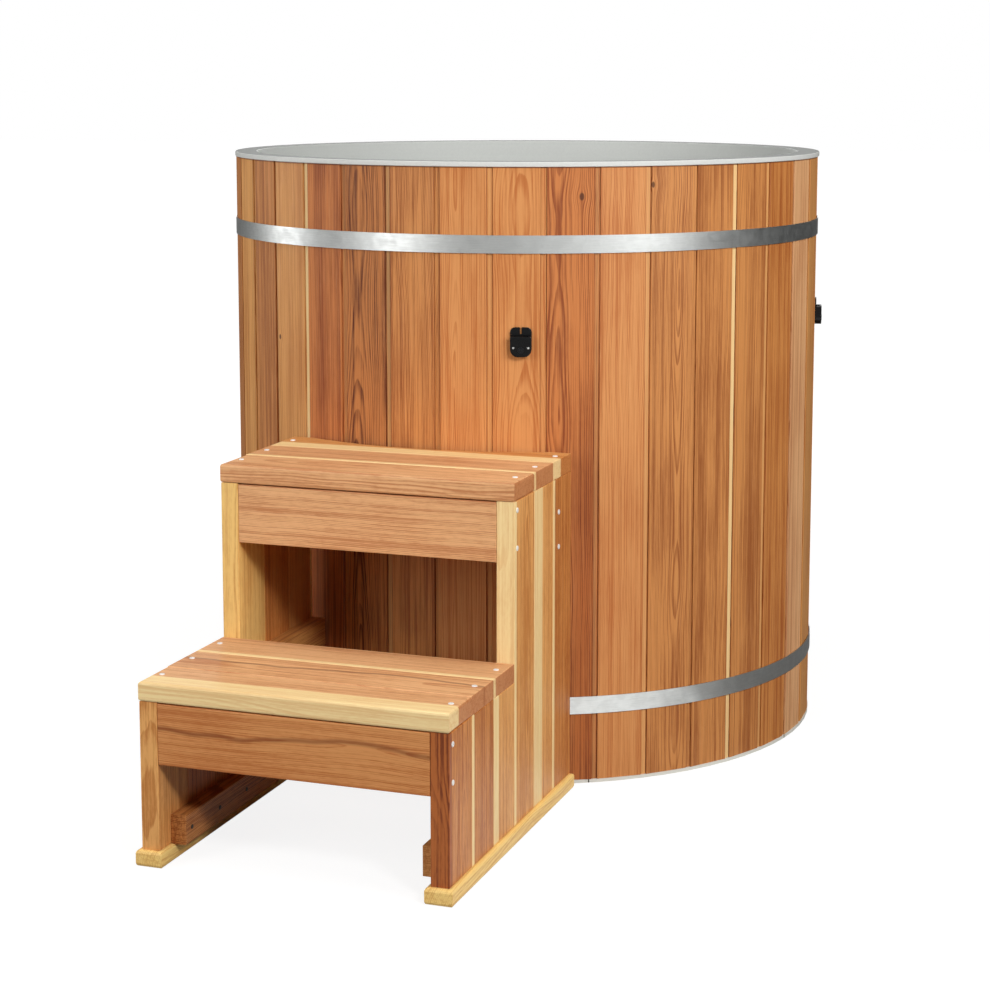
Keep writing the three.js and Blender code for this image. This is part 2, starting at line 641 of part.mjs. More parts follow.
// A tread is three planks across the steps, and the rear one of the upper tread is hollowed to suit the tub
function addTread(name, front, bottom, hollowed) {
  const half = STEP_WIDTH / 2;
  const places = ["front", "middle", "rear"];
  for (let i = 0; i < BOARDS_DEEP; i += 1) {
    const near = front - TREAD_NOSE + i * BOARD_WIDTH;
    const far = near + BOARD_WIDTH - FIT_GAP;
    const title = `${name}_tread_${places[i] ?? i + 1}`;
    const top = bottom + BOARD_THICKNESS;
    const ease = i === 0 ? TREAD_EASE : BOARD_EASE;
    if (hollowed && i === BOARDS_DEEP - 1) {
      const plank = easedPlank(hollowedOutline(half, near, far), BOARD_THICKNESS, ease);
      addPiece(steps, title, plank.translate(0, 0, (bottom + top) / 2), finish(CEDAR_TAN, CEDAR_ROUGHNESS));
    } else {
      addBoard(title, [-half, near, bottom], [half, far, top], 2, i === 0 ? CEDAR_PALE : CEDAR_RED, ease);
    }
  }
}

function hollowedOutline(half, near, far) {
  const sweep = Math.acos(-far / TREAD_ARC);
  const down = -Math.PI / 2;
  return shapeThrough([
    [-half, near],
    [half, near],
    [half, far],
    ...arc(0, 0, TREAD_ARC, down + sweep, down - sweep, HOLLOW_PARTS),
    [-half, far],
  ]);
}

addStaves();
addLiner();
addBase();
addHoop("upper_hoop", UPPER_HOOP_MIDDLE);
addHoop("lower_hoop", LOWER_HOOP_MIDDLE);
addLock("front", FRONT_LOCK_STAVE, LOCK_OFFSET);
addLock("right", RIGHT_LOCK_STAVE, LOCK_OFFSET);
addLock("back", FRONT_LOCK_STAVE + STAVE_PAIRS, LOCK_OFFSET);
addLock("left", RIGHT_LOCK_STAVE + STAVE_PAIRS, -LOCK_OFFSET);
addDrain();
for (const [side, sign] of [["left", -1], ["right", 1]]) {
  addSidePanel(side, sign);
  addRail(side, sign);
  addCleats(side, sign);
}
addApron("lower_apron", PANEL_FRONT, LOWER_TREAD_BOTTOM);
addApron("upper_apron", PANEL_MIDDLE, UPPER_TREAD_BOTTOM);
addApron("rear_apron", -TREAD_ARC - BOARD_THICKNESS, UPPER_TREAD_BOTTOM);
addTread("lower", PANEL_FRONT, LOWER_TREAD_BOTTOM, false);
addTread("upper", PANEL_MIDDLE, UPPER_TREAD_BOTTOM, true);

export default object;
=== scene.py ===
import math

import bpy
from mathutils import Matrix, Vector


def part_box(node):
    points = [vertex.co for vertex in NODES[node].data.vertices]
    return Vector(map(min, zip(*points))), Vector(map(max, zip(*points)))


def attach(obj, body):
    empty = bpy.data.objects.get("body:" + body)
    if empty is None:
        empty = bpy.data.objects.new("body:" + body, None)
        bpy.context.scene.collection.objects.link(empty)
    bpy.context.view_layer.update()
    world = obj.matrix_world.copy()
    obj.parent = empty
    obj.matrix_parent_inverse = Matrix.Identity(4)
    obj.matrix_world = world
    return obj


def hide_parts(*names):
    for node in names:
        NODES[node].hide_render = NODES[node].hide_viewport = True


bl_info = {
    "name": "Cold plunge tub",
    "version": (1, 0, 0),
    "blender": (4, 2, 0),
    "location": "3D View > Sidebar > Plunge tub",
    "description": "Finishes, small pieces and studio for a coopered cedar plunge tub and its steps",
    "category": "Object",
}

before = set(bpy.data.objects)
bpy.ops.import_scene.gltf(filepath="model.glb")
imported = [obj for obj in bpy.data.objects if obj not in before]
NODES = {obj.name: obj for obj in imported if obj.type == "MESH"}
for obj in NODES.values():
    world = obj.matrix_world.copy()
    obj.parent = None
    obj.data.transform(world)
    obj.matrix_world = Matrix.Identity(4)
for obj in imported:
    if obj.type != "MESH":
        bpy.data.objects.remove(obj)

# One letter for the cedar of each stave, from the front lock round to the right: a capital has arched grain
STAVE_TONES = "PRpMmmogtpMotRpmdtPrmtOpgrMtpomlmtrDmP"
# Staves with a strip of pale sapwood along the right edge
SAP_STAVES = (4, 12, 22, 33)
# Staves whose lower right part is dark heartwood
HEART_STAVES = (1, 16, 26)
# Knots: the stave, how far right of its middle and how high the knot lies, and its size, in metres
KNOTS = {1: (0.0195, 1.058, 0.005), 3: (-0.039, 1.077, 0.004), 33: (-0.037, 0.785, 0.0035)}
# The cedar of each board of the steps: < has pale sapwood on the lower or front edge, > on the other one,
# << and <<< have more of it, ! has dark heartwood there, and ~ a dark streak along the board
STEP_TONES = {
    "left_short_board_1": "l", "left_short_board_2": "r", "left_short_board_3": "m",
    "left_tall_board_1": "Y", "left_tall_board_2": "o", "left_tall_board_3": "t>",
    "right_short_board_1": "O!", "right_short_board_2": "o<", "right_short_board_3": "l<<",
    "right_tall_board_1": "L<", "right_tall_board_2": "l<<<", "right_tall_board_3": "o<",
    "left_foot_rail": "w", "right_foot_rail": "w",
    "left_low_cleat": "m", "right_low_cleat": "t", "left_middle_cleat": "t", "right_middle_cleat": "t",
    "lower_apron": "P~", "upper_apron": "g", "rear_apron": "m",
    "lower_tread_front": "g<<<", "lower_tread_middle": "G~", "lower_tread_rear": "g<",
    "upper_tread_front": "G", "upper_tread_middle": "g<", "upper_tread_rear": "l<<<",
}
CEDAR_KINDS = {
    "p": "pale", "t": "tan", "r": "red", "d": "dark", "m": "medium", "g": "grey", "o": "orange", "y": "yellow",
    "l": "bright", "b": "brown", "w": "straw",
}
# How fast each part of the grain changes across, into and along a board, per metre
RING_WANDER = (60.0, 60.0, 5.0)
FIBRES = (700.0, 700.0, 8.0)
BANDS = (110.0, 190.0, 1.1)
CLOUDS = (14.0, 1.0, 5.0)
FLECKS = (260.0, 260.0, 60.0)
# Step screws: how far behind the lower apron's face they stand in the treads, and in the sides with their heights
TREAD_SCREWS = {"lower": (0.050, 0.155, 0.257), "upper": (0.351, 0.453, 0.563)}
SIDE_SCREWS = {0.0135: (0.2545, 0.1935), 0.3142: (0.5623, 0.4987), 0.5343: (0.5177, 0.4565)}
LOCKS = ("front", "right", "back", "left")
# How far a cutting tool reaches past the piece that it cuts, in metres
OVERCUT = 0.01
# Where the floor and the room are bright in reflections: the shares of right and front in the direction
FLOOR_FRONT = (0.5, 0.87)
ROOM_FRONT = (0.33, 0.95)


def linear(red, green, blue):
    """A colour given as it shows on screen, 0 to 255, as scene values."""
    shown = (red / 255, green / 255, blue / 255)
    return tuple(c / 12.92 if c <= 0.04045 else ((c + 0.055) / 1.055) ** 2.4 for c in shown)


def tint(title, red, green, blue):
    return bpy.props.FloatVectorProperty(
        name=title, description=f"{title} as it shows in even light", subtype="COLOR", size=3,
        min=0.0, max=1.0, default=linear(red, green, blue),
    )


def length(title, metres, about):
    return bpy.props.FloatProperty(
        name=title, description=about, default=metres, min=0.0, subtype="DISTANCE", unit="LENGTH",
    )


def share(title, value, about):
    return bpy.props.FloatProperty(
        name=title, description=about, default=value, min=0.0, max=1.0, subtype="FACTOR",
    )


def bearing(title, value, about):
    return bpy.props.FloatProperty(name=title, description=about, default=value)


def amount(title, value, about):
    return bpy.props.FloatProperty(name=title, description=about, default=value, min=0.0)


class CedarSettings(bpy.types.PropertyGroup):
    """Colours and grain of the cedar."""

    pale_light: tint("Pale pink cedar", 216, 148, 88)
    pale_dark: tint("Pale pink grain", 187, 110, 56)
    tan_light: tint("Tan cedar", 218, 155, 88)
    tan_dark: tint("Tan grain", 184, 115, 57)
    red_light: tint("Red cedar", 200, 123, 66)
    red_dark: tint("Red grain", 140, 69, 30)
    dark_light: tint("Dark cedar", 192, 121, 64)
    dark_dark: tint("Dark grain", 98, 44, 17)
    medium_light: tint("Medium cedar", 208, 139, 77)
    medium_dark: tint("Medium grain", 152, 85, 39)
    grey_light: tint("Greyish cedar", 233, 179, 127)
    grey_dark: tint("Greyish grain", 195, 130, 83)
    orange_light: tint("Orange cedar", 208, 137, 72)
    orange_dark: tint("Orange grain", 162, 87, 35)
    yellow_light: tint("Yellow cedar", 246, 203, 124)
    yellow_dark: tint("Yellow grain", 218, 163, 90)
    bright_light: tint("Bright tan cedar", 234, 172, 102)
    bright_dark: tint("Bright tan grain", 194, 124, 62)
    straw_light: tint("Straw cedar", 255, 216, 134)
    straw_dark: tint("Straw grain", 230, 178, 98)
    brown_light: tint("Brown cedar", 176, 96, 44)
    brown_dark: tint("Brown grain", 112, 48, 17)
    sap: tint("Sapwood", 253, 226, 166)
    sap_grain: tint("Sapwood grain", 242, 203, 142)
    strip: tint("Seam strip", 236, 182, 116)
    # The seam line colour: the dark joints between staves, and painted shade in the channel corners and under the
    # liner's flange
    seam: tint("Seam line", 104, 48, 20)
    knot: tint("Knot", 78, 38, 18)
    end_grain: tint("End grain", 172, 92, 40)
    fibre_glow: tint("Bright fibres", 244, 198, 140)
    ring_spacing: length("Ring spacing", 0.0029, "Distance between growth rings")
    sap_width: length("Sapwood width", 0.011, "Width of a narrow pale strip along a board's edge")
    mid_sap: length("Middle sapwood", 0.024, "Width of a middling pale strip along a board's edge")
    wide_sap: length("Wide sapwood", 0.044, "Width of a wide pale strip along a board's edge")
    strip_width: length("Stave sapwood", 0.006, "Width of a pale strip along a stave's edge")
    pitch_deg: bearing("Stave pitch", 360 / len(STAVE_TONES), "Angle of one stave in degrees")
    first_seam_deg: bearing("First seam", -68.17, "Angle of the seam right of the front lock in degrees")
    face_distance: length("Stave face", 0.573036, "Distance of the stave faces from the tub's axis")
    half_reveal: length("Half channel", 0.0053, "Half the width of the channel at a seam")
    # Dark lines at a channel's edges: at the gap the dark joint deepened with painted shade, at the left edge
    # painted shade in the channel's inner corner
    seam_shade_width: length("Seam line width", 0.0013, "Width of the dark line at a channel's edge")
    corner_shade_width: length("Near line width", 0.0011, "Width of the dark line at a channel's left edge")
    # Painted shade: height of the darker band on the staves just under the liner's flange, the flange's shadow
    # over the dark gap there
    rim_shade_height: length("Rim gap", 0.0032, "Height of the dark gap under the liner's rim")
    streak_width: length("Streak width", 0.007, "Half the width of a dark streak along a board")
    stave_sawn: share("Stave saw marks", 0.25, "Strength of the saw marks on the staves")
    board_sawn: share("Board saw marks", 0.8, "Strength of the saw marks on the steps")


class FittingSettings(bpy.types.PropertyGroup):
    """Colours and sizes of the fittings."""

    liner: tint("Liner plastic", 205, 207, 203)
    # The rim edge colour is a painted highlight on the flange's outer edge, and the rim top colour is painted
    # shade on its flat top
    rim_edge_highlight: tint("Rim edge", 217, 218, 214)
    rim: tint("Rim top", 146, 148, 145)
    base: tint("Base plastic", 232, 230, 220)
    steel: tint("Hoop steel", 206, 208, 206)
    lock: tint("Lock plastic", 7, 7, 8)
    cylinder: tint("Key cylinder", 52, 53, 55)
    brass: tint("Valve brass", 196, 158, 92)
    lever: tint("Lever paint", 160, 36, 28)
    screw: tint("Screw steel", 240, 238, 234)
    joint_mark: tint("Base joint", 74, 66, 56)
    rim_radius: length("Rim radius", 0.5765, "Outer radius of the liner's flange")
    rim_bottom: length("Rim underside", 1.1097, "Height of the flange's underside")
    rim_top: length("Rim top", 1.1187, "Height of the flange's top")
    rim_ease: length("Rim ease", 0.0014, "Width of the liner's eased edges")
    liner_outer: length("Liner outside", 0.540736, "Outer radius of the liner's wall")
    liner_inner: length("Liner inside", 0.534236, "Inner radius of the liner's wall")
    floor_bottom: length("Floor underside", 0.0403, "Height of the liner's underside")
    floor_top: length("Floor top", 0.0468, "Height of the liner's floor")
    ring_parts: bpy.props.IntProperty(name="Ring parts", description="Sides of the round pieces", default=228)
    hoop_inner: length("Hoop inside", 0.574887, "Inner radius of the hoops")
    hoop_thickness: length("Hoop thickness", 0.0015, "Thickness of the hoop steel")
    hoop_height: length("Hoop height", 0.0316, "Height of a hoop")
    upper_hoop: length("Upper hoop", 0.975, "Height of the upper hoop's middle")
    lower_hoop: length("Lower hoop", 0.145, "Height of the lower hoop's middle")
    hoop_joint_deg: bearing("Hoop joint", 64.462, "Angle of the hoop's bolted ends in degrees")
    metal_ease: length("Metal ease", 0.0003, "Width of the eased edges of the hoops and the base joints")
    lug_opening: length("Lug opening", 0.026, "Gap between a hoop's turned-out ends")
    lug_thickness: length("Lug thickness", 0.004, "Thickness of a turned-out end")
    lug_length: length("Lug length", 0.026, "How far a turned-out end stands out")
    lug_seat: length("Lug seat", 0.0004, "How far a turned-out end starts inside the hoop's steel")
    bolt_out: length("Bolt place", 0.015, "How far the bolt lies outside the hoop")
    bolt_radius: length("Bolt radius", 0.004, "Radius of the tightening bolt")
    bolt_spare: length("Bolt spare", 0.026, "Length of the bolt outside the turned-out ends")
    bolt_clearance: length("Bolt clearance", 0.00005, "Gap on each side of a washer")
    bolt_offset: length("Bolt offset", 0.004, "How far the bolt's middle lies towards its nut")
    washer_radius: length("Washer radius", 0.0084, "Radius of a washer")
    washer_thickness: length("Washer thickness", 0.0015, "Thickness of a washer")
    nut_radius: length("Nut radius", 0.0074, "Radius over the corners of a nut or a bolt head")
    head_height: length("Bolt head", 0.0055, "Height of the bolt's head")
    nut_height: length("Nut height", 0.0065, "Height of the nut")
    drain_deg: bearing("Drain", 88.146, "Angle of the drain in degrees")
    drain_height: length("Drain height", 0.088, "Height of the drain")
    spigot_bore: length("Spigot bore", 0.0153, "Radius of the drain hole in the liner")
    spigot_radius: length("Spigot radius", 0.0193, "Outer radius of the liner's spigot")
    spigot_length: length("Spigot length", 0.018, "Length of the liner's spigot")
    spigot_seat: length("Spigot seat", 0.001, "How far the spigot starts inside the liner's wall")
    screw_radius: length("Screw head", 0.0047, "Radius of a step screw's head")
    cleat_screw_radius: length("Cleat screw head", 0.0038, "Radius of a cleat screw's head")
    lock_screw_radius: length("Lock screw head", 0.0019, "Radius of a lock screw's head")
    cleat_screw_start: length("First cleat screw", 0.05858, "How far the first cleat screw lies from the front")
    cleat_screw_pitch: length("Cleat screw pitch", 0.101, "Distance from one cleat screw to the next")
    cleat_screw_count: bpy.props.IntProperty(
        name="Cleat screws", description="Screws in each low cleat", default=5)
    screw_inset: length("Screw inset", 0.016, "How far a tread screw lies from the tread's end")
    lock_screw_reach: length("Lock screw reach", 0.0132, "How far a lock screw lies from the key cylinder's axis")
    lock_screw_rise: length("Lock screw rise", 0.004, "How far a lock screw lies above the key cylinder's axis")
    joint_inside: length("Joint inside", 0.5735, "Inner radius of the joints in the base's edge")
    joint_outside: length("Joint outside", 0.5753, "Outer radius of the joints in the base's edge")
    joint_width: length("Joint width", 0.0022, "Width of a joint in the base's edge")
    joint_low: length("Joint foot", 0.0007, "Height of a base joint's lower end")
    joint_high: length("Joint head", 0.0062, "Height of a base joint's upper end")
    joint_count: bpy.props.IntProperty(name="Joints", description="Joints in the base's edge", default=7)
    first_joint_deg: bearing("First joint", -59.7, "Angle of the first base joint in degrees")
    joint_pitch_deg: bearing("Joint pitch", 48.6, "Angle from one base joint to the next in degrees")


class StudioSettings(bpy.types.PropertyGroup):
    """Camera, floor and lights."""

    lens: amount("Lens", 80.788, "Focal length in millimetres")
    camera_place: bpy.props.FloatVectorProperty(
        name="Camera place", description="Where the camera stands", default=(1.4378, -4.2122, 1.2826),
        unit="LENGTH")
    camera_yaw_deg: bearing("Yaw", 19.661, "Turn of the camera in degrees")
    camera_pitch_deg: bearing("Pitch", 7.941, "Tilt down of the camera in degrees")
    camera_shift: bpy.props.FloatProperty(name="Shift", description="Upright shift of the lens", default=-0.12)
    floor: tint("Floor", 128, 128, 127)
    floor_size: length("Floor size", 60.0, "Side of the floor")
    aim_height: length("Aim height", 0.55, "Height at which the boxes aim")
    key_power: amount("Key", 95.0, "Power of the key light in watts")
    right_power: amount("Right", 50.0, "Power of the right box in watts")
    left_power: amount("Left", 40.0, "Power of the left box in watts")
    side_power: amount("Side", 25.0, "Power of the far left box in watts")
    back_power: amount("Back", 47.0, "Power of the box behind the tub in watts")
    top_power: amount("Top", 33.0, "Power of the top box in watts")
    sky: amount("Sky", 0.1, "Strength of the even light")
    sheen: amount("Sheen", 0.42, "Strength of the room in reflections")
    far_sheen: amount("Far sheen", 0.12, "Strength of the room in reflections from behind the tub")
    floor_glow: amount("Floor glow", 0.87, "Light added to the floor")
    floor_sheen: amount("Floor sheen", 1.25, "Strength of the floor in front of the tub in reflections")


class Wiring:
    """Adds nodes to a tree and joins them."""

    def __init__(self, tree):
        self.tree = tree

    def node(self, kind, **settings):
        made = self.tree.nodes.new("ShaderNode" + kind)
        for key, value in settings.items():
            setattr(made, key, value)
        return made

    def join(self, value, socket):
        if isinstance(value, bpy.types.NodeSocket):
            self.tree.links.new(value, socket)
        elif isinstance(value, tuple) and len(value) == 3 and len(socket.default_value) == 4:
            socket.default_value = (*value, 1.0)
        else:
            socket.default_value = value

    def math(self, operation, first, second=0.0, clamp=False):
        made = self.node("Math", operation=operation, use_clamp=clamp)
        self.join(first, made.inputs[0])
        self.join(second, made.inputs[1])
        return made.outputs[0]

    def about(self, value, reach):
        """A value from 0 to 1 as an offset to both sides."""
        return self.math("MULTIPLY", self.math("SUBTRACT", value, 0.5), reach)

    def hypot(self, first, second):
        squares = (self.math("MULTIPLY", part, part) for part in (first, second))
        return self.math("SQRT", self.math("ADD", *squares))

    def span(self, value, low, high, to_low=0.0, to_high=1.0):
        made = self.node("MapRange", interpolation_type="SMOOTHSTEP")
        for index, part in enumerate((value, low, high, to_low, to_high)):
            self.join(part, made.inputs[index])
        return made.outputs[0]

    def vector(self, x, y, z):
        made = self.node("CombineXYZ")
        for index, part in enumerate((x, y, z)):
            self.join(part, made.inputs[index])
        return made.outputs[0]

    def split(self, vector):
        made = self.node("SeparateXYZ")
        self.join(vector, made.inputs[0])
        return made.outputs

    def noise(self, vector, scale=1.0, detail=2.0, roughness=0.5):
        made = self.node("TexNoise")
        self.join(vector, made.inputs["Vector"])
        made.inputs["Scale"].default_value = scale
        made.inputs["Detail"].default_value = detail
        made.inputs["Roughness"].default_value = roughness
        return made.outputs[0]

    def mix(self, factor, first, second, blend="MIX"):
        made = self.node("Mix", data_type="RGBA", blend_type=blend)
        self.join(factor, made.inputs[0])
        self.join(first, made.inputs[6])
        self.join(second, made.inputs[7])
        return made.outputs[2]

    def blend(self, factor, first, second):
        made = self.node("Mix", data_type="FLOAT")
        self.join(factor, made.inputs[0])
        self.join(first, made.inputs[2])
        self.join(second, made.inputs[3])
        return made.outputs[0]


def new_group(name, inputs, outputs):
    group = bpy.data.node_groups.new(name, "ShaderNodeTree")
    kinds = {"f": "NodeSocketFloat", "c": "NodeSocketColor", "v": "NodeSocketVector"}
    for title, kind in inputs:
        group.interface.new_socket(name=title, in_out="INPUT", socket_type=kinds[kind])
    for title, kind in outputs:
        group.interface.new_socket(name=title, in_out="OUTPUT", socket_type=kinds[kind])
    start = group.nodes.new("NodeGroupInput")
    end = group.nodes.new("NodeGroupOutput")
    return group, start.outputs, end.inputs


def pith_distance(w, given, shift):
    """How far a point lies from the pith, which wanders along the board."""
    along = given["Along"]
    chance = w.node("TexWhiteNoise", noise_dimensions="1D")
    w.join(given["Seed"], chance.inputs["W"])
    one, two, three = w.split(chance.outputs["Color"])
    slow = w.noise(w.vector(shift, 0.0, w.math("MULTIPLY", along, 1.6)), 1.0, 2.0)
    sway = w.noise(w.vector(shift, 5.0, w.math("MULTIPLY", along, 2.4)), 1.0, 2.0)
    aside = w.math("SUBTRACT", one, 0.5)
    quarter = w.math("ADD", w.math("MULTIPLY", w.math("SIGN", aside), 0.07), w.math("MULTIPLY", aside, 0.25))
    centre = w.blend(given["Flat"], quarter, w.math("MULTIPLY", aside, 0.04))
    side = w.math("ADD", w.math("SUBTRACT", given["Across"], centre), w.about(sway, 0.03))
    below = w.math("ADD", w.math("MULTIPLY", two, 0.04), w.math("MULTIPLY", along, w.about(three, 0.06)))
    below = w.math("ADD", w.math("ADD", below, w.about(slow, 0.06)), given["Depth"])
    return w.hypot(side, below)


def cedar_group():
    """Growth rings about a wandering pith, fibres along the board and a pale strip of sapwood."""
    if "cedar" in bpy.data.node_groups:
        return bpy.data.node_groups["cedar"]
    settings = bpy.context.scene.plunge_cedar
    group, given, out = new_group("cedar", [
        ("Across", "f"), ("Depth", "f"), ("Along", "f"), ("Seed", "f"), ("Light", "c"), ("Dark", "c"),
        ("Sap From", "f"), ("Flat", "f"), ("Edge Light", "c"), ("Edge Dark", "c"), ("Sawn", "f"),
    ], [("Color", "c"), ("Roughness", "f"), ("Height", "f"), ("Sap", "f")])
    w = Wiring(group)
    shift = w.math("MULTIPLY", given["Seed"], 7.31)

    def pattern(rates, detail, roughness=0.5):
        """Noise that is drawn out along the board."""
        ways = (given["Across"], given["Depth"], given["Along"])
        side, deep, far = (w.math("MULTIPLY", way, rate) for way, rate in zip(ways, rates))
        return w.noise(w.vector(side, w.math("ADD", deep, shift), far), 1.0, detail, roughness)

    wander = pattern(RING_WANDER, 2.0)
    fibre = pattern(FIBRES, 4.0, 0.65)
    band = pattern(BANDS, 6.0, 0.68)
    cloud = pattern(CLOUDS, 2.0)
    fleck = pattern(FLECKS, 3.0, 0.6)
    rings = w.math("DIVIDE", pith_distance(w, given, shift), settings.ring_spacing)
    turns = w.math("ADD", rings, w.math("MULTIPLY", wander, 0.9))
    part = w.math("FRACT", turns)
    year = w.node("TexWhiteNoise", noise_dimensions="2D")
    w.join(w.vector(w.math("FLOOR", turns), given["Seed"], 0.0), year.inputs["Vector"])
    late = w.math("MULTIPLY", w.span(part, 0.2, 0.85), w.span(part, 1.0, 0.9))
    late = w.math("MULTIPLY", late, w.blend(year.outputs["Value"], 0.1, 1.0))
    dark = w.math("ADD", late, w.span(band, 0.43, 0.68, -0.08, 0.74))
    dark = w.math("ADD", dark, w.span(cloud, 0.35, 0.7, -0.15, 0.25))
    marks = w.math("MULTIPLY", w.span(fleck, 0.35, 0.7, -0.18, 0.26), given["Sawn"])
    dark = w.math("ADD", dark, marks)
    dark = w.math("ADD", dark, w.span(fibre, 0.4, 0.75, -0.12, 0.5), clamp=True)
    wood = w.mix(dark, given["Light"], given["Dark"])
    glow = w.mix(w.span(fibre, 0.25, 0.45, 0.18, 0.0), wood, settings.fibre_glow[:])
    edge = w.math("ADD", given["Across"], w.about(wander, 0.002))
    sap = w.span(w.math("SUBTRACT", edge, given["Sap From"]), 0.0, 0.0018)
    edge_wood = w.mix(dark, given["Edge Light"], given["Edge Dark"])
    w.join(sap, out["Sap"])
    w.join(w.mix(w.math("MULTIPLY", sap, 0.92), glow, edge_wood), out["Color"])
    w.join(w.span(fibre, 0.3, 0.7, 0.42, 0.6), out["Roughness"])
    w.join(w.math("SUBTRACT", w.math("MULTIPLY", fibre, 0.5), w.math("MULTIPLY", late, 0.35)), out["Height"])
    return group


def stave_group():
    """Where a point lies in its stave: across, into and along it, and 1 in the second stave of a pair."""
    if "stave_layout" in bpy.data.node_groups:
        return bpy.data.node_groups["stave_layout"]
    settings = bpy.context.scene.plunge_cedar
    pitch = math.radians(settings.pitch_deg)
    group, given, out = new_group("stave_layout", [("Turn", "f")], [
        ("Across", "f"), ("Depth", "f"), ("Along", "f"), ("Second", "f"), ("Strip", "f"), ("Line", "f")])
    w = Wiring(group)
    place = w.node("TexCoord").outputs["Object"]
    turn = w.node("VectorRotate", rotation_type="Z_AXIS")
    w.join(place, turn.inputs["Vector"])
    w.join(w.math("MULTIPLY", given["Turn"], -1.0), turn.inputs["Angle"])
    x, y, z = w.split(turn.outputs[0])
    angle = w.math("ARCTAN2", y, x)
    bound = settings.half_reveal / settings.face_distance
    second = w.math("GREATER_THAN", angle, bound)
    middle = w.math("MULTIPLY", w.math("SUBTRACT", second, 0.5), pitch)
    off = w.math("SUBTRACT", angle, middle)
    reach = w.hypot(x, y)
    across = w.math("MULTIPLY", reach, w.math("SINE", off))
    inwards = w.math("MULTIPLY", reach, w.math("COSINE", off))
    half = settings.face_distance * math.tan(pitch / 2)
    w.join(across, out["Across"])
    w.join(w.span(w.math("ABSOLUTE", w.math("SUBTRACT", across, half)), 0.0042, 0.0024), out["Strip"])
    # Painted shade in the channel's inner corner, and dark joint lines deepened with painted shade at the gaps
    # between staves
    edges = {
        half - settings.half_reveal: settings.corner_shade_width, half + settings.half_reveal: settings.seam_shade_width,
        settings.half_reveal - half: settings.seam_shade_width,
    }
    line = 0.0
    for edge, width in edges.items():
        away = w.math("ABSOLUTE", w.math("SUBTRACT", across, edge))
        line = w.math("MAXIMUM", line, w.span(away, width, 0.0))
    w.join(line, out["Line"])
    w.join(w.math("SUBTRACT", settings.face_distance, inwards), out["Depth"])
    w.join(z, out["Along"])
    w.join(second, out["Second"])
    return group


def knot_group():
    """A small knot: how the grain bends round it, and a mask of the knot itself."""
    if "knot" in bpy.data.node_groups:
        return bpy.data.node_groups["knot"]
    group, given, out = new_group("knot", [
        ("Across", "f"), ("Along", "f"), ("Aside", "f"), ("Up", "f"), ("Size", "f"), ("On", "f"),
    ], [("Across", "f"), ("Mask", "f")])
    w = Wiring(group)
    side = w.math("DIVIDE", w.math("SUBTRACT", given["Across"], given["Aside"]), given["Size"])
    tall = w.math("DIVIDE", w.math("SUBTRACT", given["Along"], given["Up"]), given["Size"])
    close = w.math("ADD", w.math("MULTIPLY", side, side), w.math("MULTIPLY", w.math("MULTIPLY", tall, tall), 0.4))
    bend = w.math("DIVIDE", side, w.math("ADD", w.math("MULTIPLY", close, 0.25), 1.0))
    slow = w.math("DIVIDE", 1.0, w.math("ADD", w.math("MULTIPLY", w.math("MULTIPLY", tall, tall), 0.03), 1.0))
    push = w.math("MULTIPLY", w.math("MULTIPLY", bend, slow), w.math("MULTIPLY", given["Size"], -0.9))
    w.join(w.math("ADD", given["Across"], w.math("MULTIPLY", push, given["On"])), out["Across"])
    w.join(w.math("MULTIPLY", w.span(close, 1.1, 0.35), given["On"]), out["Mask"])
    return group


def use_group(w, group, **values):
    made = w.node("Group")
    made.node_tree = group
    for key, value in values.items():
        w.join(value, made.inputs[key.replace("_", " ")])
    return made.outputs


def new_material(name):
    material = bpy.data.materials.new(name)
    material.use_nodes = True
    material.node_tree.nodes.clear()
    w = Wiring(material.node_tree)
    surface = w.node("BsdfPrincipled")
    w.join(surface.outputs[0], w.node("OutputMaterial").inputs["Surface"])
    return material, w, surface.inputs


def tones(letter):
    """The light and the dark colour of a kind of cedar."""
    settings = bpy.context.scene.plunge_cedar
    name = CEDAR_KINDS[letter.lower()]
    return getattr(settings, name + "_light")[:], getattr(settings, name + "_dark")[:]


def wire_cedar(w, shader, cedar, color):
    w.join(color, shader["Base Color"])
    w.join(cedar["Roughness"], shader["Roughness"])
    shader["Specular IOR Level"].default_value = 0.3
    bump = w.node("Bump")
    bump.inputs["Strength"].default_value = 0.25
    bump.inputs["Distance"].default_value = 0.0006
    w.join(cedar["Height"], bump.inputs["Height"])
    w.join(bump.outputs[0], shader["Normal"])


def finish_node(node, material):
    node.data.materials.clear()
    node.data.materials.append(material)


def begin():
    if bpy.context.object and bpy.context.object.mode != "OBJECT":
        bpy.ops.object.mode_set(mode="OBJECT")
    bpy.ops.object.select_all(action="DESELECT")


def only(piece):
    begin()
    piece.select_set(True)
    bpy.context.view_layer.objects.active = piece


def apply_all(piece):
    only(piece)
    bpy.ops.object.transform_apply(location=True, rotation=True, scale=True)


def bar(name, radius, low, high, parts):
    """An upright round bar about the Z axis."""
    begin()
    bpy.ops.mesh.primitive_cylinder_add(vertices=parts, radius=radius, depth=high - low,
                                        location=(0, 0, (low + high) / 2))
    piece = bpy.context.object
    piece.name = name
    apply_all(piece)
    return piece


def cross_bar(name, radius, place, reach, parts, turn=0.0, along="Y"):
    """A round bar that lies along X or Y, turned about the Z axis afterwards."""
    begin()
    lie = (math.pi / 2, 0, 0) if along == "Y" else (0, math.pi / 2, 0)
    bpy.ops.mesh.primitive_cylinder_add(vertices=parts, radius=radius, depth=reach, location=place, rotation=lie)
    piece = bpy.context.object
    piece.name = name
    apply_all(piece)
    turned(piece, turn)
    return piece


def turned(piece, degrees):
    piece.rotation_euler = (0, 0, math.radians(degrees))
    apply_all(piece)


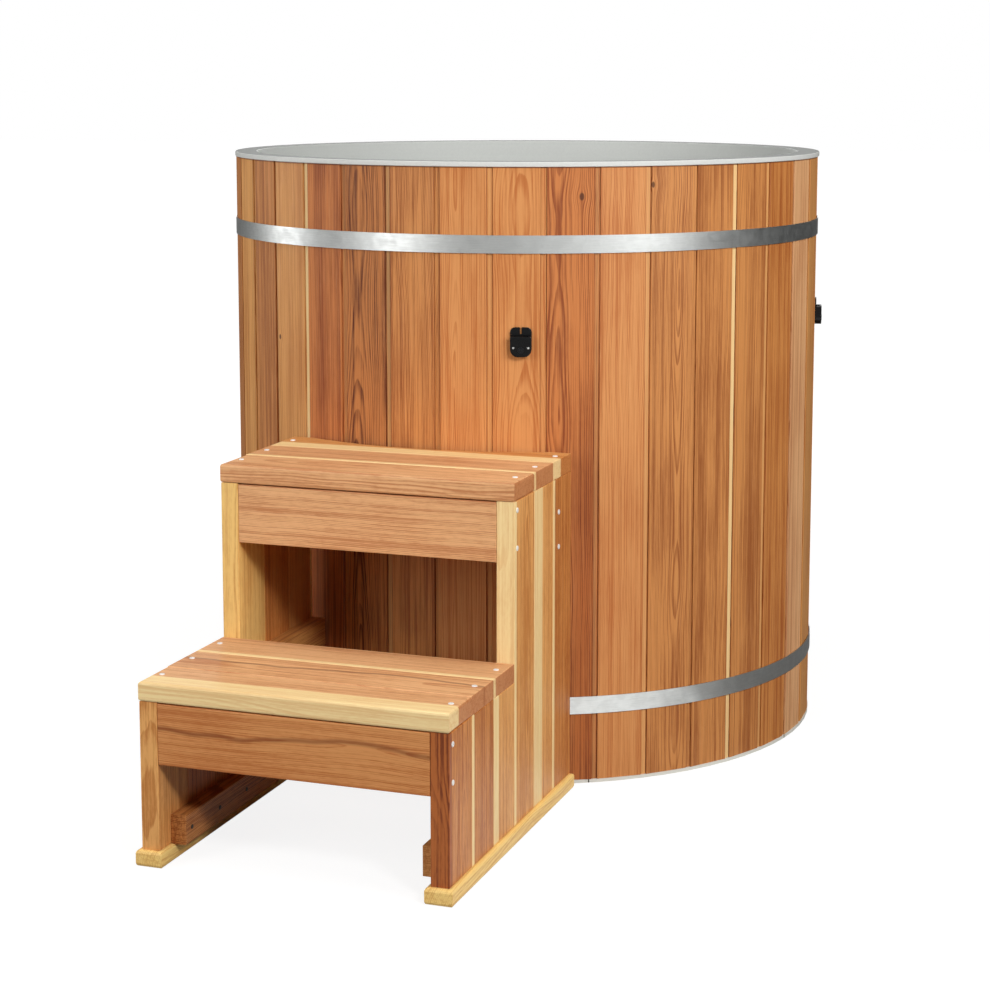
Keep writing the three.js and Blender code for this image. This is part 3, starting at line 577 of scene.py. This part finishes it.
def block(name, low, high):
    begin()
    bpy.ops.mesh.primitive_cube_add(size=1, location=[(a + b) / 2 for a, b in zip(low, high)])
    piece = bpy.context.object
    piece.name = name
    piece.scale = [b - a for a, b in zip(low, high)]
    apply_all(piece)
    return piece


def combine(piece, tool, operation):
    """Adds a tool to a piece, or cuts it away."""
    only(piece)
    step = piece.modifiers.new("step", "BOOLEAN")
    step.operation = operation
    step.solver = "EXACT"
    step.object = tool
    bpy.ops.object.modifier_apply(modifier="step")
    bpy.data.objects.remove(tool)


def ease(piece, width, parts, angle=40):
    only(piece)
    step = piece.modifiers.new("ease", "BEVEL")
    step.width = width
    step.segments = parts
    step.limit_method = "ANGLE"
    step.angle_limit = math.radians(angle)
    bpy.ops.object.modifier_apply(modifier="ease")


def smooth(piece, angle=35):
    only(piece)
    bpy.ops.object.shade_smooth_by_angle(angle=math.radians(angle))


def even(piece):
    """Lets the large faces set the shading where a hole breaks them up."""
    only(piece)
    step = piece.modifiers.new("even", "WEIGHTED_NORMAL")
    step.keep_sharp = True
    step.weight = 90
    bpy.ops.object.modifier_apply(modifier="even")


def joined(name, pieces):
    begin()
    for piece in pieces:
        piece.select_set(True)
    bpy.context.view_layer.objects.active = pieces[0]
    bpy.ops.object.join()
    whole = bpy.context.object
    whole.name = name
    apply_all(whole)
    return whole


def copies(name, master, places):
    """Copies of a piece at their places and turns, as one piece."""
    made = []
    for place, turn in places:
        only(master)
        bpy.ops.object.duplicate()
        copy = bpy.context.object
        copy.location = place
        copy.rotation_euler = turn
        apply_all(copy)
        made.append(copy)
    bpy.data.objects.remove(master)
    return joined(name, made)


def settle(piece, material, body, slot, *stands_for):
    finish_node(piece, material)
    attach(piece, body)
    if stands_for:
        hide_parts(*stands_for)


class PLUNGE_OT_staves(bpy.types.Operator):
    """Gives every pair of staves its own cedar"""

    bl_idname = "plunge.staves"
    bl_label = "Stave cedar"

    def execute(self, context):
        settings = context.scene.plunge_cedar
        rim = context.scene.plunge_fittings.rim_bottom
        half = settings.face_distance * math.tan(math.radians(settings.pitch_deg / 2))
        for pair in range(len(STAVE_TONES) // 2):
            material, w, shader = new_material(f"stave_cedar_{pair + 1:02d}")
            turn = math.radians(settings.first_seam_deg + 2 * pair * settings.pitch_deg)
            place = use_group(w, stave_group(), Turn=turn)
            second = place["Second"]
            staves = {2 * pair: w.math("SUBTRACT", 1.0, second), 2 * pair + 1: second}
            light, grain = self.tone(w, place, staves)
            across, knot = self.knots(w, place, staves)
            sap = [half - settings.strip_width if stave in SAP_STAVES else 1.0 for stave in staves]
            flat = [float(STAVE_TONES[stave].isupper()) for stave in staves]
            cedar = use_group(
                w, cedar_group(), Across=across, Depth=place["Depth"], Along=place["Along"],
                Seed=w.math("ADD", second, 2.0 * pair + 3.0), Light=light, Dark=grain,
                Sap_From=w.blend(second, *sap), Flat=w.blend(second, *flat),
                Edge_Light=settings.sap[:], Edge_Dark=settings.sap_grain[:], Sawn=settings.stave_sawn)
            color = cedar["Color"]
            if knot is not None:
                color = w.mix(w.math("MULTIPLY", knot, 0.85), color, settings.knot[:])
            pale = w.blend(second, *(0.06 * (stave * 37 % 11) for stave in staves))
            color = w.mix(w.math("MULTIPLY", place["Strip"], pale), color, settings.strip[:])
            # The dark joint lines with their painted corner shade, fainter over sapwood
            faint = w.span(cedar["Sap"], 0.0, 1.0, 0.4, 0.2)
            color = w.mix(w.math("MULTIPLY", place["Line"], faint), color, settings.seam[:])
            # Painted shade: the staves darken just under the liner's flange, where the flange shades them over a
            # dark gap
            gap = w.span(place["Along"], rim - settings.rim_shade_height, rim - 0.001, 0.0, 0.7)
            wire_cedar(w, shader, cedar, w.mix(gap, color, settings.seam[:]))
            finish_node(NODES[f"stave_pair_{pair + 1:02d}"], material)
        return {"FINISHED"}

    def tone(self, w, place, staves):
        """The light and the dark colour of both staves of a pair."""
        (light_a, dark_a), (light_b, dark_b) = (tones(STAVE_TONES[stave]) for stave in staves)
        light = w.mix(place["Second"], light_a, light_b)
        grain = w.mix(place["Second"], dark_a, dark_b)
        for stave, here in staves.items():
            if stave in HEART_STAVES:
                brown, deep = tones("b")
                low = w.span(place["Along"], 0.86, 0.42)
                heart = w.math("MULTIPLY", low, w.span(place["Across"], -0.012, 0.02))
                heart = w.math("MULTIPLY", w.math("MULTIPLY", heart, here), 0.7)
                light, grain = w.mix(heart, light, brown), w.mix(heart, grain, deep)
        return light, grain

    def knots(self, w, place, staves):
        """The way across a stave, bent round its knot, and the mask of the knot where it has one."""
        across, mask = place["Across"], None
        for stave, here in staves.items():
            if stave in KNOTS:
                aside, up, size = KNOTS[stave]
                bent = use_group(w, knot_group(), Across=across, Along=place["Along"], Aside=aside, Up=up,
                                 Size=size, On=here)
                across, mask = bent["Across"], bent["Mask"]
        return across, mask


class PLUNGE_OT_boards(bpy.types.Operator):
    """Gives every board of the steps its own cedar"""

    bl_idname = "plunge.boards"
    bl_label = "Step cedar"

    def execute(self, context):
        settings = context.scene.plunge_cedar
        widths = (-1.0, settings.sap_width, settings.mid_sap, settings.wide_sap)
        for number, (name, words) in enumerate(STEP_TONES.items()):
            material, w, shader = new_material(f"{name}_cedar")
            low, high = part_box(name)
            order = sorted(range(3), key=lambda axis: high[axis] - low[axis])
            place = w.split(w.node("TexCoord").outputs["Object"])
            depth, across, along = (w.math("SUBTRACT", place[a], (low[a] + high[a]) / 2) for a in order)
            light, dark = tones(words[0])
            if "<" in words or "!" in words:
                across = w.math("MULTIPLY", across, -1.0)
            edge_light, edge_dark = tones("b") if "!" in words else (settings.sap[:], settings.sap_grain[:])
            half = (high[order[1]] - low[order[1]]) / 2
            sap = half - widths[len(words.rstrip("~")) - 1]
            cedar = use_group(w, cedar_group(), Across=across, Depth=depth, Along=along, Seed=60.0 + number,
                              Light=light, Dark=dark, Sap_From=sap, Flat=float(words[0].isupper()),
                              Edge_Light=edge_light, Edge_Dark=edge_dark, Sawn=settings.board_sawn)
            color = cedar["Color"]
            if "~" in words:
                color = w.mix(self.streak(w, settings, across, along), color, tones("b")[1])
            if "tread" in name:
                color = w.mix(self.end(w, cedar, order[2]), color, settings.end_grain[:])
            wire_cedar(w, shader, cedar, color)
            finish_node(NODES[name], material)
        return {"FINISHED"}

    def streak(self, w, settings, across, along):
        """A dark streak that wanders along a board."""
        wave = w.noise(w.vector(w.math("MULTIPLY", along, 2.6), 3.0, 0.0), 1.0, 3.0)
        off = w.math("SUBTRACT", across, w.math("MULTIPLY", w.math("SUBTRACT", wave, 0.35), 0.1))
        return w.span(w.math("ABSOLUTE", off), settings.streak_width, 0.0, 0.0, 0.6)

    def end(self, w, cedar, axis):
        """The sawn end of a board that lies along an axis, weaker where it is sapwood."""
        facing = w.math("ABSOLUTE", w.split(w.node("TexCoord").outputs["Normal"])[axis])
        return w.math("MULTIPLY", w.span(facing, 0.6, 0.9), w.span(cedar["Sap"], 0.0, 1.0, 0.6, 0.1))


def plain(name, color, roughness, metallic=0.0, gloss=0.5):
    material, w, shader = new_material(name)
    place = w.node("TexCoord").outputs["Object"]
    cloud = w.noise(place, 240.0, 3.0)
    w.join(w.mix(w.span(cloud, 0.3, 0.7, 0.0, 0.12), color, tuple(c * 0.8 for c in color)), shader["Base Color"])
    w.join(w.span(cloud, 0.3, 0.7, roughness - 0.05, roughness + 0.05), shader["Roughness"])
    shader["Metallic"].default_value = metallic
    shader["Specular IOR Level"].default_value = gloss
    return material


def steel(name, color):
    """Sheet steel brushed along the hoop."""
    material, w, shader = new_material(name)
    x, y, z = w.split(w.node("TexCoord").outputs["Object"])
    angle = w.math("ARCTAN2", y, x)
    lines = w.noise(w.vector(w.math("MULTIPLY", angle, 14.0), w.math("MULTIPLY", z, 1500.0), 0.0), 1.0, 3.0)
    patch = w.noise(w.vector(w.math("MULTIPLY", angle, 30.0), w.math("MULTIPLY", z, 60.0), 4.0), 1.0, 3.0)
    worn = w.math("ADD", w.span(lines, 0.3, 0.7, 0.0, 0.7), w.span(patch, 0.35, 0.65, 0.0, 0.4))
    w.join(w.mix(worn, color, tuple(c * 0.8 for c in color)), shader["Base Color"])
    w.join(w.span(worn, 0.0, 1.1, 0.33, 0.46), shader["Roughness"])
    shader["Metallic"].default_value = 1.0
    return material


class PLUNGE_OT_liner(bpy.types.Operator):
    """Makes the round liner with its flange, its drain spigot and the base"""

    bl_idname = "plunge.liner"
    bl_label = "Liner and base"

    def execute(self, context):
        s = context.scene.plunge_fittings
        cup = bar("liner_shell", s.liner_outer, s.floor_bottom, s.rim_bottom + 0.001, s.ring_parts)
        combine(cup, bar("flange", s.rim_radius, s.rim_bottom, s.rim_top, s.ring_parts), "UNION")
        combine(cup, bar("pool", s.liner_inner, s.floor_top, s.rim_top + OVERCUT, s.ring_parts), "DIFFERENCE")
        middle = (s.liner_outer + s.spigot_length / 2 - s.spigot_seat, 0, s.drain_height)
        spigot = cross_bar("spigot", s.spigot_radius, middle, s.spigot_length, 32, s.drain_deg, "X")
        combine(cup, spigot, "UNION")
        bore = cross_bar("bore", s.spigot_bore, middle, 4 * s.spigot_length, 32, s.drain_deg, "X")
        combine(cup, bore, "DIFFERENCE")
        ease(cup, s.rim_ease, 3)
        smooth(cup)
        even(cup)
        settle(cup, self.plastic(s), "tub", "liner_plastic", "liner")
        finish_node(NODES["insulated_base"], plain("base_plastic", s.base[:], 0.5))
        return {"FINISHED"}

    def plastic(self, s):
        """Pale plastic with painted shade that darkens the flat top of the flange, and painted highlights on the
        flange's eased edges and outer edge.
        """
        material, w, shader = new_material("liner_plastic")
        place = w.node("TexCoord").outputs["Object"]
        x, y, z = w.split(place)
        cloud = w.noise(place, 240.0, 3.0)
        # Painted shade: the flat top takes the darker rim colour, while the eased edges keep the paler liner
        # colour as a painted highlight line
        top = w.span(z, s.rim_top - 0.0006, s.rim_top - 0.0002)
        # Painted highlight on the flange's outer edge
        outer_highlight = w.span(w.hypot(x, y), s.rim_radius - s.rim_ease, s.rim_radius - 0.0006)
        color = w.mix(outer_highlight, w.mix(top, s.liner[:], s.rim[:]), s.rim_edge_highlight[:])
        w.join(w.mix(w.span(cloud, 0.3, 0.7, 0.0, 0.1), color, (0.4, 0.4, 0.4)), shader["Base Color"])
        w.join(w.blend(top, w.span(cloud, 0.3, 0.7, 0.38, 0.46), 0.7), shader["Roughness"])
        shader["Specular IOR Level"].default_value = 0.15
        return material


class PLUNGE_OT_hoops(bpy.types.Operator):
    """Makes the smooth hoops with their bolted ends"""

    bl_idname = "plunge.hoops"
    bl_label = "Hoops"

    def execute(self, context):
        s = context.scene.plunge_fittings
        metal = steel("hoop_steel", s.steel[:])
        bright = plain("bolt_steel", s.screw[:], 0.3, 0.9)
        for name, middle in (("upper_hoop", s.upper_hoop), ("lower_hoop", s.lower_hoop)):
            settle(self.band(s, name, middle), metal, "tub", "hoop_steel", name)
            settle(self.bolt(s, name, middle), bright, "tub", "hoop_steel")
        return {"FINISHED"}

    def band(self, s, name, middle):
        low, high = middle - s.hoop_height / 2, middle + s.hoop_height / 2
        half = s.lug_opening / 2
        tip = s.hoop_inner + s.lug_length
        ring = bar(f"{name}_band", s.hoop_inner + s.hoop_thickness, low, high, s.ring_parts)
        combine(ring, bar("inside", s.hoop_inner, low - OVERCUT, high + OVERCUT, s.ring_parts), "DIFFERENCE")
        gap = block("gap", (s.hoop_inner - 2 * OVERCUT, -half, low - OVERCUT), (tip, half, high + OVERCUT))
        turned(gap, s.hoop_joint_deg)
        combine(ring, gap, "DIFFERENCE")
        for side in (-1, 1):
            near, far = sorted((side * half, side * (half + s.lug_thickness)))
            lug = block("lug", (s.hoop_inner + s.lug_seat, near, low), (tip, far, high))
            turned(lug, s.hoop_joint_deg)
            combine(ring, lug, "UNION")
        ease(ring, s.metal_ease, 2)
        smooth(ring)
        return ring

    def bolt(self, s, name, middle):
        place = s.hoop_inner + s.bolt_out
        side = s.lug_opening / 2 + s.lug_thickness
        turn = s.hoop_joint_deg
        shank = (place, s.bolt_offset, middle)
        parts = [cross_bar("shank", s.bolt_radius, shank, 2 * side + s.bolt_spare, 20, turn)]
        for sign, tall in ((-1, s.head_height), (1, s.nut_height)):
            inside = side + s.bolt_clearance
            outside = inside + s.washer_thickness + s.bolt_clearance
            washer = (place, sign * (inside + s.washer_thickness / 2), middle)
            plate = cross_bar("washer", s.washer_radius, washer, s.washer_thickness, 28, turn)
            ease(plate, width=0.0002, parts=2)
            head = (place, sign * (outside + tall / 2), middle)
            nut = cross_bar("nut", s.nut_radius, head, tall, 6, turn)
            ease(nut, width=0.0004, parts=2)
            parts += [plate, nut]
        whole = joined(f"{name}_bolt", parts)
        smooth(whole)
        return whole


class PLUNGE_OT_screws(bpy.types.Operator):
    """Makes the screws of the steps and the locks, and the joints in the base's edge"""

    bl_idname = "plunge.screws"
    bl_label = "Screws and base joints"

    def execute(self, context):
        s = context.scene.plunge_fittings
        bright = plain("screw_steel", s.screw[:], 0.4, 0.1)
        head = self.screw(s.screw_radius)
        settle(copies("step_screws", head, self.step_places(s)), bright, "steps", "hoop_steel")
        dark = plain("cleat_screw", s.joint_mark[:], 0.5, 0.5)
        head = self.screw(s.cleat_screw_radius)
        settle(copies("cleat_screws", head, self.cleat_places(s)), dark, "steps", "hoop_steel")
        metal = plain("lock_screw", s.steel[:], 0.35, 0.8)
        head = self.screw(s.lock_screw_radius)
        settle(copies("lock_screws", head, self.lock_places(context, s)), metal, "tub", "lock_metal")
        grey = plain("base_joint", s.joint_mark[:], 0.7)
        settle(copies("base_joints", self.joint(s), self.joint_places(s)), grey, "tub", "base_plastic")
        return {"FINISHED"}

    def screw(self, radius):
        """A pan head with a cross recess that faces +Z."""
        head = bar("screw", radius, -radius / 8, radius / 3, 18)
        ease(head, radius / 5, 2)
        for wide, tall in ((radius * 1.1, radius * 0.24), (radius * 0.24, radius * 1.1)):
            slot = block("slot", (-wide / 2, -tall / 2, radius / 6), (wide / 2, tall / 2, radius))
            combine(head, slot, "DIFFERENCE")
        smooth(head)
        return head

    def joint(self, s):
        """The dark end of a joint between two parts of the base."""
        half = s.joint_width / 2
        mark = block("mark", (s.joint_inside, -half, s.joint_low), (s.joint_outside, half, s.joint_high))
        ease(mark, s.metal_ease, 2)
        return mark

    def joint_places(self, s):
        angles = (math.radians(s.first_joint_deg + s.joint_pitch_deg * number) for number in range(s.joint_count))
        return [((0, 0, 0), (0, 0, angle)) for angle in angles]

    def step_places(self, s):
        """Where the step screws stand, and how they are turned."""
        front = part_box("lower_apron")[0].y
        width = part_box("lower_tread_front")[1].x
        found = []
        for tread, places in TREAD_SCREWS.items():
            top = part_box(f"{tread}_tread_front")[1].z
            for place in places:
                for side in (-1, 1):
                    found.append(((side * (width - s.screw_inset), front + place, top), (0, 0, 0.4)))
        for side in (-1, 1):
            for place, heights in SIDE_SCREWS.items():
                for z in heights:
                    found.append(((side * width, front + place, z), (0, side * math.pi / 2, 0)))
        return found

    def cleat_places(self, s):
        """One screw for each board in the inner faces of the low cleats."""
        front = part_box("lower_apron")[0].y + s.cleat_screw_start
        low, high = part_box("right_low_cleat")
        found = []
        for side in (-1, 1):
            for number in range(s.cleat_screw_count):
                place = (side * low.x, front + s.cleat_screw_pitch * number, (low.z + high.z) / 2)
                found.append((place, (0, -side * math.pi / 2, 0)))
        return found

    def lock_places(self, context, s):
        """Two screws in the face of each lock, one on each side of its key cylinder."""
        found = []
        for place in LOCKS:
            low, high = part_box(f"{place}_lock_cylinder")
            x, y = (low.x + high.x) / 2, (low.y + high.y) / 2
            out = round_angle(context, math.atan2(y, x))
            points = (vertex.co for vertex in NODES[f"{place}_lock"].data.vertices)
            far = max(point.x * math.cos(out) + point.y * math.sin(out) for point in points)
            across = -x * math.sin(out) + y * math.cos(out)
            for side in (-s.lock_screw_reach, s.lock_screw_reach):
                over = across + side
                spot = (far * math.cos(out) - over * math.sin(out), far * math.sin(out) + over * math.cos(out),
                        (low.z + high.z) / 2 + s.lock_screw_rise)
                found.append((spot, (math.pi / 2, 0, out + math.pi / 2)))
        return found


def round_angle(context, angle):
    """The direction of the stave that holds this angle."""
    s = context.scene.plunge_cedar
    pitch = math.radians(s.pitch_deg)
    first = math.radians(s.first_seam_deg)
    return first + (math.floor((angle - first) / pitch) + 0.5) * pitch


class PLUNGE_OT_fittings(bpy.types.Operator):
    """Finishes the locks and the drain"""

    bl_idname = "plunge.fittings"
    bl_label = "Locks and drain"

    def execute(self, context):
        s = context.scene.plunge_fittings
        black = plain("lock_plastic", s.lock[:], 0.3, gloss=0.25)
        metal = plain("cylinder_metal", s.cylinder[:], 0.3, 1.0)
        for place in LOCKS:
            finish_node(NODES[f"{place}_lock"], black)
            finish_node(NODES[f"{place}_lock_cylinder"], metal)
        finish_node(NODES["drain_valve"], plain("valve_brass", s.brass[:], 0.3, 1.0))
        finish_node(NODES["drain_lever"], plain("lever_paint", s.lever[:], 0.35))
        return {"FINISHED"}


class PLUNGE_OT_stage(bpy.types.Operator):
    """Makes the floor, the lights and the camera"""

    bl_idname = "plunge.stage"
    bl_label = "Studio"

    def execute(self, context):
        s = context.scene.plunge_studio
        self.floor(s)
        self.room(context, s)
        self.box(s, "key", s.key_power, away=4.6, turn=-50, height=3.0, width=0.7, tall=0.7)
        self.box(s, "right_box", s.right_power, away=3.4, turn=-27, height=1.9, width=1.5, tall=1.8)
        self.box(s, "left_box", s.left_power, away=3.6, turn=-118, height=1.6, width=1.4, tall=1.8)
        self.box(s, "side_box", s.side_power, away=3.4, turn=-168, height=1.4, width=0.8, tall=1.8)
        self.box(s, "back_box", s.back_power, away=3.8, turn=109, height=2.0, width=2.2, tall=1.8)
        self.box(s, "top_box", s.top_power, away=0.6, turn=-100, height=3.6, width=2.4, tall=2.4)
        bpy.ops.object.camera_add(location=s.camera_place, rotation=(
            math.radians(90 - s.camera_pitch_deg), 0, math.radians(s.camera_yaw_deg)))
        camera = bpy.context.object
        camera.data.lens = s.lens
        camera.data.sensor_width = 36
        camera.data.shift_y = s.camera_shift
        context.scene.camera = camera
        context.scene.view_settings.view_transform = "Standard"
        return {"FINISHED"}

    def ahead(self, w, x, y, direction):
        """How far a point or a ray lies in a direction towards the front."""
        right, front = direction
        return w.math("SUBTRACT", w.math("MULTIPLY", x, right), w.math("MULTIPLY", y, front))

    def floor(self, s):
        """Makes white paper that keeps a soft shadow, and that the steel mirrors in front of the tub."""
        begin()
        bpy.ops.mesh.primitive_plane_add(size=s.floor_size)
        floor = bpy.context.object
        floor.name = "floor"
        material, w, shader = new_material("floor_paper")
        w.join(s.floor[:], shader["Base Color"])
        shader["Roughness"].default_value = 0.9
        shader["Specular IOR Level"].default_value = 0.0
        shader["Emission Color"].default_value = (1, 1, 1, 1)
        path = w.node("LightPath").outputs
        x, y, _ = w.split(w.node("TexCoord").outputs["Object"])
        away = w.hypot(x, y)
        glow = w.span(away, 1.6, 4.5, s.floor_glow, 1.0)
        facing = w.math("DIVIDE", self.ahead(w, x, y, FLOOR_FRONT), away)
        facing = w.span(facing, 0.7, 0.98, 0.0, s.floor_sheen)
        facing = w.math("MULTIPLY", facing, w.span(away, 1.5, 3.5, 1.0, 0.4))
        mirrored = w.math("MULTIPLY", path["Is Glossy Ray"], facing)
        lit = w.math("ADD", w.math("MULTIPLY", path["Is Camera Ray"], glow), mirrored)
        w.join(lit, shader["Emission Strength"])
        finish_node(floor, material)

    def room(self, context, s):
        """Makes a white room that gives little light, and is brighter in front of the tub in reflections."""
        world = bpy.data.worlds.new("studio")
        context.scene.world = world
        world.use_nodes = True
        world.node_tree.nodes.clear()
        w = Wiring(world.node_tree)
        back = w.node("Background")
        path = w.node("LightPath").outputs
        x, y, _ = w.split(w.node("TexCoord").outputs["Generated"])
        mirrored = w.span(self.ahead(w, x, y, ROOM_FRONT), -0.45, 0.1, s.far_sheen, s.sheen)
        strength = w.blend(path["Is Glossy Ray"], s.sky, mirrored)
        w.join(w.blend(path["Is Camera Ray"], strength, 1.0), back.inputs["Strength"])
        w.join(back.outputs[0], w.node("OutputWorld").inputs["Surface"])
        back.inputs["Color"].default_value = (1, 1, 1, 1)

    def box(self, s, name, power, away, turn, height, width, tall):
        """A soft box round the tub at an angle, aimed at its middle."""
        place = (away * math.cos(math.radians(turn)), away * math.sin(math.radians(turn)), height)
        bpy.ops.object.light_add(type="AREA", location=place)
        lamp = bpy.context.object
        lamp.name = name
        lamp.data.shape = "RECTANGLE"
        lamp.data.size = width
        lamp.data.size_y = tall
        lamp.data.energy = power
        lamp.rotation_euler = (math.atan2(away, height - s.aim_height), 0, math.radians(turn + 90))


class PLUNGE_PT_panel(bpy.types.Panel):
    """Settings and steps of the plunge tub"""

    bl_idname = "PLUNGE_PT_panel"
    bl_label = "Plunge tub"
    bl_space_type = "VIEW_3D"
    bl_region_type = "UI"
    bl_category = "Plunge tub"

    def draw(self, context):
        for operator in OPERATORS:
            self.layout.operator(operator.bl_idname)
        for settings in (context.scene.plunge_cedar, context.scene.plunge_fittings, context.scene.plunge_studio):
            box = self.layout.box()
            for key in settings.__annotations__:
                box.prop(settings, key)


OPERATORS = (
    PLUNGE_OT_staves, PLUNGE_OT_boards, PLUNGE_OT_liner, PLUNGE_OT_hoops, PLUNGE_OT_fittings, PLUNGE_OT_screws,
    PLUNGE_OT_stage,
)
SETTINGS = (CedarSettings, FittingSettings, StudioSettings)


def register():
    for item in (*SETTINGS, *OPERATORS, PLUNGE_PT_panel):
        bpy.utils.register_class(item)
    bpy.types.Scene.plunge_cedar = bpy.props.PointerProperty(type=CedarSettings)
    bpy.types.Scene.plunge_fittings = bpy.props.PointerProperty(type=FittingSettings)
    bpy.types.Scene.plunge_studio = bpy.props.PointerProperty(type=StudioSettings)


def unregister():
    for name in ("plunge_cedar", "plunge_fittings", "plunge_studio"):
        delattr(bpy.types.Scene, name)
    for item in reversed((*SETTINGS, *OPERATORS, PLUNGE_PT_panel)):
        bpy.utils.unregister_class(item)


def main():
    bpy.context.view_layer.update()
    register()
    bpy.ops.plunge.staves()
    bpy.ops.plunge.boards()
    bpy.ops.plunge.liner()
    bpy.ops.plunge.hoops()
    bpy.ops.plunge.fittings()
    bpy.ops.plunge.screws()
    bpy.ops.plunge.stage()


if __name__ == "__main__":
    main()
